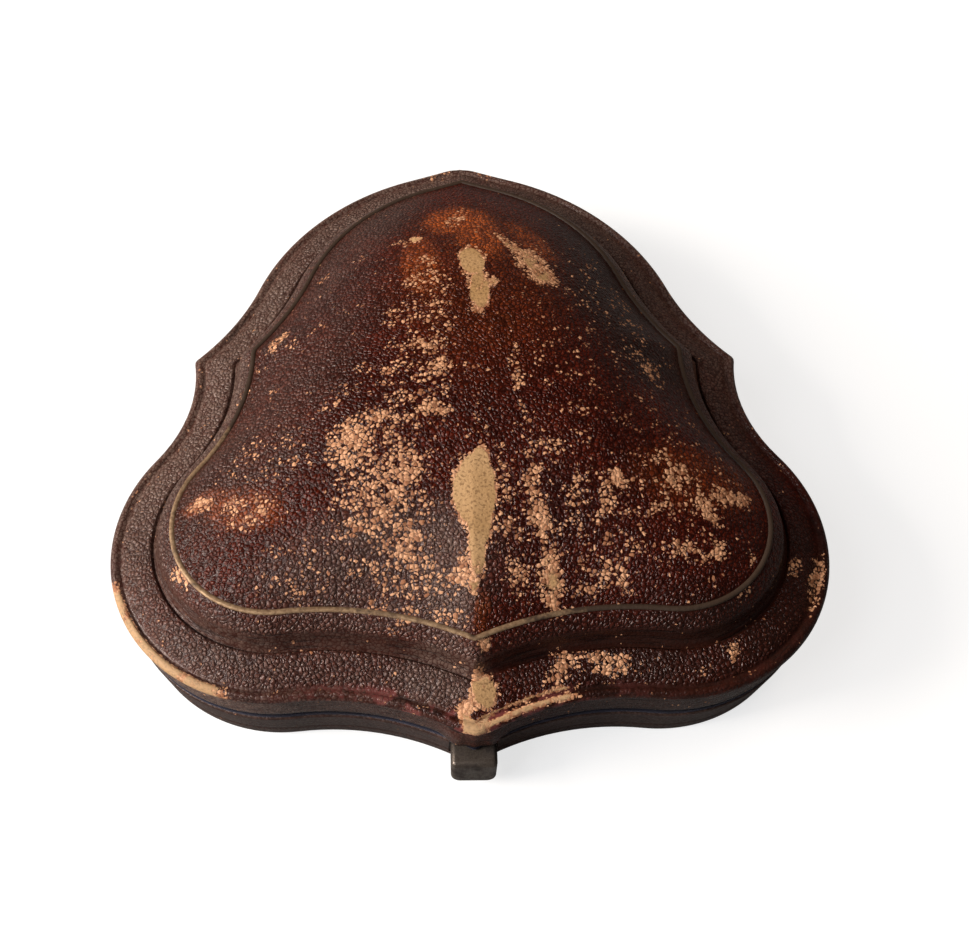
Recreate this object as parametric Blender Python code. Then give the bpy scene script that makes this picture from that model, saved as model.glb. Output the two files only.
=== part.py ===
# Jewellery presentation case: a small lobed wooden case covered in grained leather, with a domed lid
# on a brass hinge at the back and a push button catch at the front point.
# Lengths are in metres, +Z is up, the button faces -Y and the case stands on Z = 0.

import math

import bmesh
import bpy
from mathutils import Vector

MM = 0.001

# Plan of the case. The width is taken over the bead round the lid. The shares are of half the width of
# the bead's centre line, and X = 0 is the line from the front point to the back point.
CASE_WIDTH = 120.0 * MM
BEAD_RADIUS = 1.0 * MM
FRONT_POINT_SHARE = -0.837
LOWER_LOBE_RADIUS_SHARE = 0.461
LOWER_LOBE_Y_SHARE = -0.2736
SIDE_POINT_X_SHARE = 0.829
SIDE_POINT_Y_SHARE = 0.3725
UPPER_LOBE_X_SHARE = -0.0873
UPPER_LOBE_Y_SHARE = 0.4173
UPPER_LOBE_RADIUS_SHARE = 0.779
BACK_POINT_SHARE = 1.217
FRONT_HOLLOW_SHARE = 0.80
SIDE_FRONT_HOLLOW_SHARE = 0.475
SIDE_BACK_HOLLOW_SHARE = 0.80
BACK_HOLLOW_SHARE = 3.39
DOME_TOP_Y_SHARE = 0.16

# Number of straight steps in each arc of half the plan, from the front point to the back point.
FRONT_HOLLOW_STEPS = 4
LOWER_LOBE_STEPS = 11
SIDE_HOLLOW_STEPS = 3
UPPER_LOBE_STEPS = 8
BACK_HOLLOW_STEPS = 2
BARREL_SIDES = 20
SCREW_SIDES = 12
WELL_SIDES = 24
SPRING_STEPS = 10

# Heights of the case, from the table up to the foot of the dome.
BASE_HEIGHT = 9.8 * MM
RIM_GAP = 1.9 * MM
LID_SIDE_HEIGHT = 7.3 * MM
BASE_TAPER = 1.2 * MM
BAND_WIDTH = 6.2 * MM
BAND_RISE = 2.8 * MM
COVE_WIDTH = 1.7 * MM
COVE_RISE = 3.3 * MM
COVE_DIP = 0.35 * MM
STEP_WIDTH = 2.4 * MM
STEP_RISE = 2.3 * MM
GILT_WIDTH = 0.7 * MM
GILT_RISE = 0.25 * MM
DOME_RISE = 12.6 * MM
DOME_FULLNESS = 2.6

# Curves of the lid's mouldings, each point as a share of the moulding's width and rise.
BEAD_ANGLES = (-65.0, -22.0, 22.0, 65.0)
BEAD_HEEL_SHARES = ((0.7, 0.65), (1.3, 1.0))
BAND_SHARE = (0.6, 0.72)
COVE_SHARES = ((0.6, 0.25), (0.9, 0.8))
GILT_SHARES = (0.25, 0.75)
OUTER_DOME_SHARES = (0.0, 0.07, 0.16, 0.28, 0.43, 0.6, 0.8)
INNER_DOME_SHARES = (0.0, 0.12, 0.3, 0.55)
SIDE_RIDGE_SHARE = 0.4
FRONT_RIDGE_SHARE = 0.9
FRONT_RIDGE_LOSS_SHARE = 0.8
RIDGE_SPREAD_STEPS = 3.0
DOME_SMOOTHINGS = 14
SILK_SHARES = (0.15, 0.4, 0.7)
PAD_SHARES = (0.3, 0.65)

# Thicknesses and fits.
LEATHER = 0.8 * MM
LEATHER_FOLD = 0.6 * MM
LEATHER_TURN = 2.6 * MM
EDGE_ROUND = 0.25 * MM
GLUE_LINE = 0.12 * MM
FIT = 0.3 * MM
WOOD_WALL = 3.1 * MM
SHOULDER_DROP = 1.2 * MM
FLOOR = 2.6 * MM
UNDERSIDE_SHEET = 0.25 * MM
TOOLED_LINE = 0.25 * MM
TOOLED_LINE_SHARE = 0.4
VELVET = 1.1 * MM
VELVET_EDGE = 0.4 * MM
COLLAR_RISE = 2.2 * MM
CARD = 1.0 * MM
PAD_CROWN = 0.9 * MM
PAD_PROUD = 0.4 * MM
PAD_SHOULDER = 1.6 * MM
WELL_DEPTH = 4.6 * MM
WELL_FLARE = 0.9 * MM
SILK_PUFF = 1.5 * MM
SILK_EDGE = 1.0 * MM
BORDER_WIDTH = 0.9 * MM

# The jewel wells in the pad: a brooch well on the centre line and an earring well in each front lobe.
BROOCH_WELL_SHARES = (0.27, 0.20)
BROOCH_WELL_Y_SHARE = 0.42
EARRING_WELL_SHARE = 0.135
EARRING_WELL_X_SHARE = 0.46
EARRING_WELL_Y_SHARE = -0.20

# Hinge: a small brass butt hinge let in at the back point.
HINGE_WIDTH = 12.0 * MM
BARREL_RADIUS = 1.45 * MM
PIN_RADIUS = 0.55 * MM
PIN_CLEARANCE = 0.12 * MM
KNUCKLE_GAP = 0.3 * MM
LEAF_THICKNESS = 0.8 * MM
LEAF_DEPTH = 6.6 * MM
HINGE_STANDOFF = 0.4 * MM
HINGE_BLOCK = 7.4 * MM
HINGE_SCREW_X_SHARE = 0.3
HINGE_SCREW_Y_SHARE = 0.66

# Screws.
SCREW_HEAD_RADIUS = 1.05 * MM
SCREW_HEAD_HEIGHT = 0.5 * MM
SCREW_LAND = 0.1 * MM
SCREW_RADIUS = 0.5 * MM
SCREW_LENGTH = 3.6 * MM
SCREW_CLEARANCE = 0.15 * MM
SLOT_WIDTH = 0.3 * MM
SLOT_DEPTH = 0.25 * MM

# Push button catch, measured inwards from the front point.
BUTTON_WIDTH = 7.4 * MM
BUTTON_HEIGHT = 7.6 * MM
BUTTON_THICKNESS = 3.2 * MM
BUTTON_PROUD = 1.3 * MM
BUTTON_CORNER = 1.5 * MM
BUTTON_EDGE = 0.45 * MM
BUTTON_TRAVEL = 1.0 * MM
BUTTON_TOP_DROP = 0.1 * MM
STEM_WIDTH = 3.2 * MM
STEM_HEIGHT = 3.0 * MM
TONGUE_WIDTH = 2.8 * MM
HOUSING_SET_IN = 4.5 * MM
HOUSING_WALL = 0.6 * MM
HOUSING_WIDTH = 8.4 * MM
HOUSING_FLANGE = 2.2 * MM
HOUSING_TOP = 0.7 * MM
SLIDE_THICKNESS = 0.8 * MM
SLIDE_WIDTH = 5.8 * MM
SLIDE_BAR = 0.7 * MM
HOOK_WIDTH = 3.0 * MM
HOOK_THICKNESS = 0.6 * MM
HOOK_CATCH = 0.6 * MM
HOOK_NOSE = 0.7 * MM
SPRING_ROOM = 0.5 * MM
SPRING_THICKNESS = 0.2 * MM
SPRING_HEIGHT = 1.6 * MM
BLOCK_WALL = 0.7 * MM
STRIKE_THICKNESS = 0.7 * MM

# Colours, as linear red, green and blue.
LEATHER_COLOUR = (0.045, 0.018, 0.012)
WOOD_COLOUR = (0.42, 0.27, 0.14)
VELVET_COLOUR = (0.012, 0.016, 0.07)
SILK_COLOUR = (0.72, 0.62, 0.45)
CARD_COLOUR = (0.5, 0.42, 0.3)
PAPER_COLOUR = (0.03, 0.028, 0.03)
BRASS_COLOUR = (0.62, 0.42, 0.14)
BRONZE_COLOUR = (0.16, 0.14, 0.1)
STEEL_COLOUR = (0.4, 0.38, 0.36)

# Sizes that follow from the ones above.
HALF_WIDTH = CASE_WIDTH / 2.0 - BEAD_RADIUS
FRONT_POINT_Y = FRONT_POINT_SHARE * HALF_WIDTH
BACK_POINT_Y = BACK_POINT_SHARE * HALF_WIDTH
AXIS_Y = BACK_POINT_Y + HINGE_STANDOFF
BUTTON_FRONT_Y = FRONT_POINT_Y - BUTTON_PROUD
CENTRE_Y = (BUTTON_FRONT_Y + AXIS_Y + BARREL_RADIUS) / 2.0

LID_BOTTOM = BASE_HEIGHT + RIM_GAP
AXIS_Z = BASE_HEIGHT + RIM_GAP / 2.0
BEAD_Z = LID_BOTTOM + LID_SIDE_HEIGHT
BAND_Z = BEAD_Z + BAND_RISE
COVE_Z = BAND_Z + COVE_RISE
STEP_Z = COVE_Z + STEP_RISE
SHOULDER_Z = BEAD_Z - SHOULDER_DROP

COVE_INSET = BAND_WIDTH + COVE_WIDTH
STEP_INSET = COVE_INSET + STEP_WIDTH
DOME_INSET = STEP_INSET + GILT_WIDTH

WOOD_INSET = LEATHER + GLUE_LINE
CAVITY_INSET = WOOD_INSET + WOOD_WALL
LINING_INSET = CAVITY_INSET + FIT
PAD_INSET = LINING_INSET + VELVET + FIT
TRAY_TOP = BASE_HEIGHT - LEATHER_FOLD - GLUE_LINE
SHELL_BOTTOM = LID_BOTTOM + LEATHER_FOLD + GLUE_LINE
VELVET_TOP = LID_BOTTOM - FIT
FLOOR_Z = UNDERSIDE_SHEET + GLUE_LINE + FLOOR
BOARD_TOP = FLOOR_Z + GLUE_LINE + CARD
HINGE_FACE_Y = BACK_POINT_Y - HINGE_BLOCK

HOUSING_FRONT = FRONT_POINT_Y + HOUSING_SET_IN
SLIDE_FRONT = HOUSING_FRONT + HOUSING_WALL + FIT / 2.0
WINDOW_FRONT = SLIDE_FRONT + SLIDE_BAR
HOOK_FRONT = WINDOW_FRONT + BUTTON_TRAVEL + FIT
HOOK_BACK = HOOK_FRONT + HOOK_THICKNESS
WINDOW_BACK = HOOK_BACK + FIT
HOOK_REACH = WINDOW_BACK + HOOK_CATCH
SLIDE_BACK = WINDOW_BACK + SLIDE_BAR
HOUSING_INNER_BACK = SLIDE_BACK + BUTTON_TRAVEL + SPRING_ROOM
HOUSING_BACK = HOUSING_INNER_BACK + HOUSING_WALL
BLOCK_FACE_Y = HOUSING_BACK + BLOCK_WALL

FLANGE_TOP = TRAY_TOP + GLUE_LINE + HOUSING_TOP
BUTTON_TOP = BASE_HEIGHT + RIM_GAP / 4.0 - BUTTON_TOP_DROP
BUTTON_BOTTOM = BUTTON_TOP - BUTTON_HEIGHT
STEM_BOTTOM = (BUTTON_TOP + BUTTON_BOTTOM - STEM_HEIGHT) / 2.0
STEM_TOP = STEM_BOTTOM + STEM_HEIGHT
SLIDE_Z = STEM_BOTTOM + (STEM_HEIGHT - SLIDE_THICKNESS) / 2.0
HOOK_BOTTOM = SLIDE_Z - FIT - HOOK_NOSE

# Overrun of a cutter past the faces that it cuts through.
OVERRUN = 5.0 * MM

materials = {}


def clear_scene():
    for obj in list(bpy.data.objects):
        bpy.data.objects.remove(obj, do_unlink=True)


def material(name, colour, roughness, metallic=0.0):
    """One Principled material for each sub-part, kept by name."""
    if name not in materials:
        made = bpy.data.materials.new(name)
        made.use_nodes = True
        shader = made.node_tree.nodes["Principled BSDF"]
        shader.inputs["Base Color"].default_value = (*colour, 1.0)
        shader.inputs["Roughness"].default_value = roughness
        shader.inputs["Metallic"].default_value = metallic
        made.diffuse_color = (*colour, 1.0)
        materials[name] = made
    return materials[name]


def empty(name, location, parent=None):
    made = bpy.data.objects.new(name, None)
    made.empty_display_size = CASE_WIDTH / 8.0
    bpy.context.scene.collection.objects.link(made)
    made.location = location
    if parent is not None:
        made.parent = parent
        made.matrix_parent_inverse = parent.matrix_world.inverted()
    bpy.context.view_layer.update()
    return made


def finish(name, bm, look, parent, origin=(0.0, 0.0, 0.0), sharp=math.radians(35.0)):
    """Turn a bmesh drawn in the case's frame into an object whose origin is at the given point."""
    bmesh.ops.recalc_face_normals(bm, faces=bm.faces)
    bmesh.ops.translate(bm, verts=bm.verts, vec=-Vector(origin))
    mesh = bpy.data.meshes.new(name)
    bm.to_mesh(mesh)
    bm.free()
    mesh.shade_smooth()
    mesh.set_sharp_from_angle(angle=sharp)
    mesh.materials.append(look)
    return place(name, mesh, parent, origin)


def place(name, mesh, parent, location):
    """Link an object and hang it on its body's empty, given its place in the case's frame."""
    obj = bpy.data.objects.new(name, mesh)
    bpy.context.scene.collection.objects.link(obj)
    obj.location = location
    if parent is not None:
        obj.parent = parent
        obj.matrix_parent_inverse = parent.matrix_world.inverted()
    return obj


def box(bm, x0, x1, y0, y1, z0, z1):
    """An upright block between two corners."""
    corners = [(x0, y0), (x1, y0), (x1, y1), (x0, y1)]
    bottom = [bm.verts.new((x, y, z0)) for x, y in corners]
    face = bm.faces.new(bottom)
    lifted = bmesh.ops.extrude_face_region(bm, geom=[face])["geom"]
    top = [item for item in lifted if isinstance(item, bmesh.types.BMVert)]
    bmesh.ops.translate(bm, verts=top, vec=(0.0, 0.0, z1 - z0))


def cutter(name, bm):
    """A shape that only cuts others: it isn't a piece of the case."""
    bmesh.ops.recalc_face_normals(bm, faces=bm.faces)
    mesh = bpy.data.meshes.new(name)
    bm.to_mesh(mesh)
    bm.free()
    obj = place(name, mesh, None, (0.0, 0.0, 0.0))
    obj.display_type = "WIRE"
    obj.hide_render = True
    return obj


def box_cutter(name, x0, x1, y0, y1, z0, z1):
    bm = bmesh.new()
    box(bm, x0, x1, y0, y1, z0, z1)
    return cutter(name, bm)


def combine(obj, other, operation):
    boolean = obj.modifiers.new(other.name, "BOOLEAN")
    boolean.object = other
    boolean.operation = operation
    boolean.solver = "EXACT"


# Plan outline


def beside(start, start_radius, end, end_radius):
    """The crossing of two circles that lies to the right of the line from start to end."""
    line = end - start
    length = line.length
    along = (start_radius**2 - end_radius**2 + length**2) / (2.0 * length)
    across = math.sqrt(max(start_radius**2 - along**2, 0.0))
    unit = line / length
    return start + unit * along + Vector((unit.y, -unit.x)) * across


def arc(centre, radius, start, end, steps, lobe):
    """Points from start to end round a centre, without the last point. A round lobe turns left, and a
    hollow goes the short way."""
    first = math.atan2(start.y - centre.y, start.x - centre.x)
    full = 2.0 * math.pi
    sweep = (math.atan2(end.y - centre.y, end.x - centre.x) - first) % full
    if not lobe and sweep > full / 2.0:
        sweep -= full
    angles = [first + sweep * i / steps for i in range(steps)]
    return [centre + Vector((math.cos(a), math.sin(a))) * radius for a in angles]


def plan_half(inset):
    """Right half of the outline, drawn in by the inset, from the front point to the back point. Hollow
    arcs run from each point into the round lobes, so an inset keeps every centre and changes radii."""
    size = HALF_WIDTH
    front = Vector((0.0, FRONT_POINT_Y))
    back = Vector((0.0, BACK_POINT_Y))
    side = Vector((SIDE_POINT_X_SHARE, SIDE_POINT_Y_SHARE)) * size
    lower_radius = LOWER_LOBE_RADIUS_SHARE * size
    lower = Vector((size - lower_radius, LOWER_LOBE_Y_SHARE * size))
    upper_radius = UPPER_LOBE_RADIUS_SHARE * size
    upper = Vector((UPPER_LOBE_X_SHARE, UPPER_LOBE_Y_SHARE)) * size
    front_radius = FRONT_HOLLOW_SHARE * size
    side_front_radius = SIDE_FRONT_HOLLOW_SHARE * size
    side_back_radius = SIDE_BACK_HOLLOW_SHARE * size
    back_radius = BACK_HOLLOW_SHARE * size
    front_hollow = beside(front, front_radius, lower, lower_radius + front_radius)
    side_front_hollow = beside(lower, lower_radius + side_front_radius, side, side_front_radius)
    side_back_hollow = beside(side, side_back_radius, upper, upper_radius + side_back_radius)
    back_hollow = beside(upper, upper_radius + back_radius, back, back_radius)

    def on_axis(centre, radius, turn):
        reach = math.sqrt(max(radius**2 - centre.x**2, 0.0))
        return Vector((0.0, centre.y + turn * reach))

    def touch(hollow, lobe, radius):
        return lobe + (hollow - lobe).normalized() * (radius - inset)

    front_tip = on_axis(front_hollow, front_radius + inset, 1.0)
    back_tip = on_axis(back_hollow, back_radius + inset, -1.0)
    side_tip = beside(
        side_back_hollow, side_back_radius + inset, side_front_hollow, side_front_radius + inset
    )
    enter_lower = touch(front_hollow, lower, lower_radius)
    leave_lower = touch(side_front_hollow, lower, lower_radius)
    enter_upper = touch(side_back_hollow, upper, upper_radius)
    leave_upper = touch(back_hollow, upper, upper_radius)
    front_out = front_radius + inset
    side_front_out = side_front_radius + inset
    side_back_out = side_back_radius + inset
    points = arc(front_hollow, front_out, front_tip, enter_lower, FRONT_HOLLOW_STEPS, False)
    points += arc(lower, lower_radius - inset, enter_lower, leave_lower, LOWER_LOBE_STEPS, True)
    points += arc(side_front_hollow, side_front_out, leave_lower, side_tip, SIDE_HOLLOW_STEPS, False)
    points += arc(side_back_hollow, side_back_out, side_tip, enter_upper, SIDE_HOLLOW_STEPS, False)
    points += arc(upper, upper_radius - inset, enter_upper, leave_upper, UPPER_LOBE_STEPS, True)
    points += arc(back_hollow, back_radius + inset, leave_upper, back_tip, BACK_HOLLOW_STEPS, False)
    points.append(back_tip)
    return points


def plan(inset, flat_back=False, flat_front=False):
    """Closed outline, anticlockwise from the front point. A cavity stops at the hinge block and, where it
    is asked, at the catch block."""
    half = plan_half(inset)
    other = [Vector((-p.x, p.y)) for p in reversed(half[1:-1])]
    points = half + other
    deeper = inset - CAVITY_INSET
    if flat_back:
        limit = HINGE_FACE_Y - deeper
        points = [Vector((p.x, min(p.y, limit))) for p in points]
    if flat_front:
        limit = BLOCK_FACE_Y + deeper
        points = [Vector((p.x, max(p.y, limit))) for p in points]
    return points


def ring(inset, z, **flats):
    return [Vector((p.x, p.y - CENTRE_Y, z)) for p in plan(inset, **flats)]


def loft(rings, start=None, end=None):
    """A skin through rings of equal length. It ends in a point where one is given, in a flat face where it
    is None, and closes on itself where start is 'ring'."""
    bm = bmesh.new()
    rows = [[bm.verts.new(p) for p in points] for points in rings]
    count = len(rows[0])
    pairs = list(zip(rows, rows[1:]))
    if start == "ring":
        pairs.append((rows[-1], rows[0]))
    for low, high in pairs:
        for i in range(count):
            j = (i + 1) % count
            bm.faces.new((low[i], low[j], high[j], high[i]))
    if start != "ring":
        for row, tip in ((rows[0], start), (rows[-1], end)):
            if tip is None:
                bm.faces.new(row)
            else:
                apex = bm.verts.new(tip)
                for i in range(count):
                    bm.faces.new((row[i], row[(i + 1) % count], apex))
    return bm


# Dome


def smoothed(points):
    """The same ring with its points rounded off, by taking each point towards its neighbours."""
    for _ in range(DOME_SMOOTHINGS):
        count = len(points)
        points = [
            (points[i - 1] + points[i] * 2.0 + points[(i + 1) % count]) / 4.0 for i in range(count)
        ]
    return points


def ease(share):
    share = min(max(share, 0.0), 1.0)
    return share * share * (3.0 - 2.0 * share)


def dome_rings(inset, foot, rise, shares, **flats):
    """Rings that climb from the foot to the crown and draw in towards it. The side and back points fade
    soon. The front one stays as a ridge that runs up over the dome and softens near the crown."""
    outline = ring(inset, foot, **flats)
    soft = smoothed(outline)
    top = Vector((0.0, DOME_TOP_Y_SHARE * HALF_WIDTH - CENTRE_Y, foot))
    count = len(outline)
    made = []
    for share in shares:
        points = []
        for i in range(count):
            spread = FRONT_HOLLOW_STEPS + RIDGE_SPREAD_STEPS
            near_front = ease(1.0 - min(i, count - i) / spread)
            side_keep = 1.0 - ease(share / SIDE_RIDGE_SHARE)
            front_keep = 1.0 - FRONT_RIDGE_LOSS_SHARE * ease(share / FRONT_RIDGE_SHARE)
            keep = side_keep + (front_keep - side_keep) * near_front
            point = soft[i].lerp(outline[i], keep)
            point = point.lerp(top, share)
            point.z = foot + rise * (1.0 - (1.0 - share) ** DOME_FULLNESS)
            points.append(point)
        made.append(points)
    return made, top + Vector((0.0, 0.0, rise))


# Lid


def make_lid_leather(parent, origin):
    """Grained leather over the lid: the flat side, the bead, the sloping band, the tooled cove, the
    step, the raised gilt line and the dome, turned in under the edge of the wood."""
    outer = [
        (WOOD_INSET + LEATHER_TURN, LID_BOTTOM),
        (EDGE_ROUND, LID_BOTTOM),
        (0.0, LID_BOTTOM + EDGE_ROUND),
        (0.0, BEAD_Z - BEAD_RADIUS - EDGE_ROUND),
        (EDGE_ROUND, BEAD_Z - BEAD_RADIUS),
    ]
    for angle in BEAD_ANGLES:
        turn = math.radians(angle)
        outer.append((-BEAD_RADIUS * math.cos(turn), BEAD_Z + BEAD_RADIUS * math.sin(turn)))
    for wide, high in BEAD_HEEL_SHARES:
        outer.append((BEAD_RADIUS * wide, BEAD_Z + BEAD_RADIUS * high))
    outer.append((BAND_WIDTH * BAND_SHARE[0], BEAD_Z + BAND_RISE * BAND_SHARE[1]))
    outer.append((BAND_WIDTH - EDGE_ROUND, BAND_Z))
    outer.append((BAND_WIDTH + EDGE_ROUND, BAND_Z - COVE_DIP))
    for wide, high in COVE_SHARES:
        outer.append((BAND_WIDTH + COVE_WIDTH * wide, BAND_Z + COVE_RISE * high))
    outer.append((COVE_INSET + EDGE_ROUND, COVE_Z))
    outer.append((STEP_INSET - EDGE_ROUND, STEP_Z - GILT_RISE))
    for wide in GILT_SHARES:
        outer.append((STEP_INSET + GILT_WIDTH * wide, STEP_Z + GILT_RISE))
    inner = [
        (WOOD_INSET + LEATHER_TURN, LID_BOTTOM + LEATHER_FOLD),
        (LEATHER, LID_BOTTOM + LEATHER_FOLD),
        (LEATHER, BEAD_Z),
        (BEAD_RADIUS + LEATHER, BEAD_Z + BEAD_RADIUS - LEATHER),
        (BAND_WIDTH + LEATHER / 2.0, BAND_Z - LEATHER - COVE_DIP),
        (COVE_INSET + LEATHER, COVE_Z - LEATHER),
    ]
    outer_dome, outer_top = dome_rings(DOME_INSET, STEP_Z, DOME_RISE, OUTER_DOME_SHARES)
    inner_dome, inner_top = dome_rings(
        DOME_INSET + LEATHER / 2.0, STEP_Z - LEATHER, DOME_RISE, OUTER_DOME_SHARES
    )
    rings = list(reversed(inner_dome))
    rings += [ring(inset, z) for inset, z in reversed(inner)]
    rings += [ring(inset, z) for inset, z in outer]
    rings += outer_dome
    bm = loft(rings, inner_top, outer_top)
    look = material("lid_leather", LEATHER_COLOUR, 0.45)
    return finish("lid_leather", bm, look, parent, origin)


def make_lid_shell(parent, origin):
    """Carved wooden lid under the leather: a wall, a shoulder and a hollow dome, with solid blocks at the
    front and back points for the hook and the hinge."""
    below = LEATHER + GLUE_LINE
    outer = [
        (WOOD_INSET, SHELL_BOTTOM),
        (WOOD_INSET, BEAD_Z - GLUE_LINE),
        (BEAD_RADIUS + below + GLUE_LINE, BEAD_Z + BEAD_RADIUS - below - GLUE_LINE),
        (BAND_WIDTH + below, BAND_Z - below - COVE_DIP - GLUE_LINE),
        (COVE_INSET + below + GLUE_LINE, COVE_Z - below - GLUE_LINE),
    ]
    outer_dome, outer_top = dome_rings(
        DOME_INSET + LEATHER / 2.0 + GLUE_LINE, STEP_Z - below - GLUE_LINE, DOME_RISE, OUTER_DOME_SHARES
    )
    inner = [
        (CAVITY_INSET, SHELL_BOTTOM - OVERRUN),
        (CAVITY_INSET, SHOULDER_Z),
        (BAND_WIDTH + WOOD_WALL, BAND_Z - below - WOOD_WALL),
        (COVE_INSET + WOOD_WALL, COVE_Z - below - WOOD_WALL),
    ]
    inner_dome, inner_top = dome_rings(
        DOME_INSET + WOOD_WALL, STEP_Z - below - WOOD_WALL, DOME_RISE, INNER_DOME_SHARES, flat_back=True
    )
    rings = [ring(inset, z) for inset, z in outer] + outer_dome
    bm = loft(rings, None, outer_top)
    shell = finish("lid_shell", bm, material("lid_shell", WOOD_COLOUR, 0.7), parent, origin)
    rings = [ring(inset, z, flat_back=True) for inset, z in inner] + inner_dome
    hollow = cutter("lid_hollow_cutter", loft(rings, None, inner_top))
    combine(hollow, front_block("lid_block_cutter", SHELL_BOTTOM - OVERRUN * 2.0, BEAD_Z), "DIFFERENCE")
    combine(shell, hollow, "DIFFERENCE")
    return shell


def front_block(name, low, high):
    """The solid corner behind the front point that holds one half of the catch."""
    half = HOUSING_WIDTH / 2.0 + HOUSING_FLANGE + FIT
    return box_cutter(
        name, -half, half, FRONT_POINT_Y - CENTRE_Y - OVERRUN, BLOCK_FACE_Y - CENTRE_Y, low, high
    )


def make_lid_border(parent, origin):
    """Card strip round the inside of the lid that hides the edge of the silk."""
    low = VELVET_TOP + COLLAR_RISE + FIT * 2.0
    high = SHOULDER_Z - CARD - FIT * 2.0
    inner = LINING_INSET + BORDER_WIDTH
    profile = [
        (LINING_INSET, low),
        (inner, low),
        (inner, high),
        (LINING_INSET, high),
    ]
    rings = [ring(inset, z, flat_back=True) for inset, z in profile]
    look = material("lid_border", VELVET_COLOUR, 0.8)
    border = finish("lid_border", loft(rings, "ring"), look, parent, origin)
    combine(border, clear_of_block("lid_border_cutter", low, high), "DIFFERENCE")
    return border


def clear_of_block(name, low, high):
    """A block a little larger than the solid corner, to clear linings away from it."""
    half = HOUSING_WIDTH / 2.0 + HOUSING_FLANGE + FIT * 2.0
    front = FRONT_POINT_Y - CENTRE_Y - OVERRUN
    return box_cutter(
        name, -half, half, front, BLOCK_FACE_Y - CENTRE_Y + FIT, low - OVERRUN, high + OVERRUN
    )


def make_lid_board(parent, origin):
    """Card that the silk is stretched over."""
    high = SHOULDER_Z - FIT
    low = high - CARD
    inset = LINING_INSET + FIT
    rings = [ring(inset, z, flat_back=True, flat_front=True) for z in (low, high)]
    look = material("lid_board", CARD_COLOUR, 0.85)
    return finish("lid_board", loft(rings), look, parent, origin)


def make_lid_silk(parent, origin):
    """Padded silk lining that fills the lid's mouth and puffs down a little towards the jewels."""
    high = SHOULDER_Z - CARD - FIT * 2.0
    edge = LINING_INSET + BORDER_WIDTH + FIT
    low = high - SILK_EDGE
    flats = {"flat_back": True, "flat_front": True}
    rings = [ring(edge, high, **flats), ring(edge, low, **flats)]
    for step in SILK_SHARES:
        points = ring(edge + PAD_SHOULDER, low, **flats)
        top = Vector((0.0, DOME_TOP_Y_SHARE * HALF_WIDTH - CENTRE_Y, low))
        drop = SILK_PUFF * math.sqrt(1.0 - (1.0 - step) ** 2)
        rings.append([p.lerp(top, step) - Vector((0.0, 0.0, drop)) for p in points])
    tip = Vector((0.0, DOME_TOP_Y_SHARE * HALF_WIDTH - CENTRE_Y, low - SILK_PUFF))
    look = material("lid_silk", SILK_COLOUR, 0.4)
    return finish("lid_silk", loft(rings, None, tip), look, parent, origin)


# Base


def make_base_leather(parent):
    """Leather round the base wall, turned over the rim and in under the floor, with one tooled line."""
    low = UNDERSIDE_SHEET + GLUE_LINE
    line = BASE_HEIGHT * TOOLED_LINE_SHARE
    turn = WOOD_INSET + LEATHER_TURN

    def wall(z):
        return BASE_TAPER * (1.0 - z / BASE_HEIGHT)

    profile = [
        (turn, BASE_HEIGHT),
        (turn, BASE_HEIGHT - LEATHER_FOLD),
        (LEATHER, BASE_HEIGHT - LEATHER_FOLD),
        (LEATHER + wall(low), low + LEATHER_FOLD),
        (turn + BASE_TAPER, low + LEATHER_FOLD),
        (turn + BASE_TAPER, low),
        (EDGE_ROUND + wall(low), low),
        (wall(low + EDGE_ROUND), low + EDGE_ROUND),
        (wall(line - TOOLED_LINE), line - TOOLED_LINE),
        (wall(line) + TOOLED_LINE, line),
        (wall(line + TOOLED_LINE), line + TOOLED_LINE),
        (0.0, BASE_HEIGHT - EDGE_ROUND),
        (EDGE_ROUND, BASE_HEIGHT),
    ]
    rings = [ring(inset, z) for inset, z in profile]
    look = material("base_leather", LEATHER_COLOUR, 0.5)
    return finish("base_leather", loft(rings, "ring"), look, parent)


def make_base_tray(parent):
    """Carved wooden tray: floor, tapered wall, hinge block and catch block in one piece."""
    low = UNDERSIDE_SHEET + GLUE_LINE
    foot = low + LEATHER_FOLD + GLUE_LINE
    boss = WOOD_INSET + LEATHER_TURN + BASE_TAPER + FIT
    outer = [
        (boss, low),
        (boss, foot),
        (WOOD_INSET + BASE_TAPER, foot),
        (WOOD_INSET, TRAY_TOP),
    ]
    rings = [ring(inset, z) for inset, z in outer]
    tray = finish("base_tray", loft(rings), material("base_tray", WOOD_COLOUR, 0.7), parent)
    rings = [ring(CAVITY_INSET, z, flat_back=True) for z in (FLOOR_Z, TRAY_TOP + OVERRUN)]
    hollow = cutter("tray_hollow_cutter", loft(rings))
    combine(hollow, front_block("tray_block_cutter", -OVERRUN, TRAY_TOP + OVERRUN * 2.0), "DIFFERENCE")
    combine(tray, hollow, "DIFFERENCE")
    return tray


def make_underside(parent):
    """Dark paper closing the bottom. The case stands on it."""
    inset = WOOD_INSET + BASE_TAPER
    rings = [ring(inset, 0.0), ring(inset, UNDERSIDE_SHEET)]
    look = material("base_underside", PAPER_COLOUR, 0.9)
    return finish("base_underside", loft(rings), look, parent)


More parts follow.
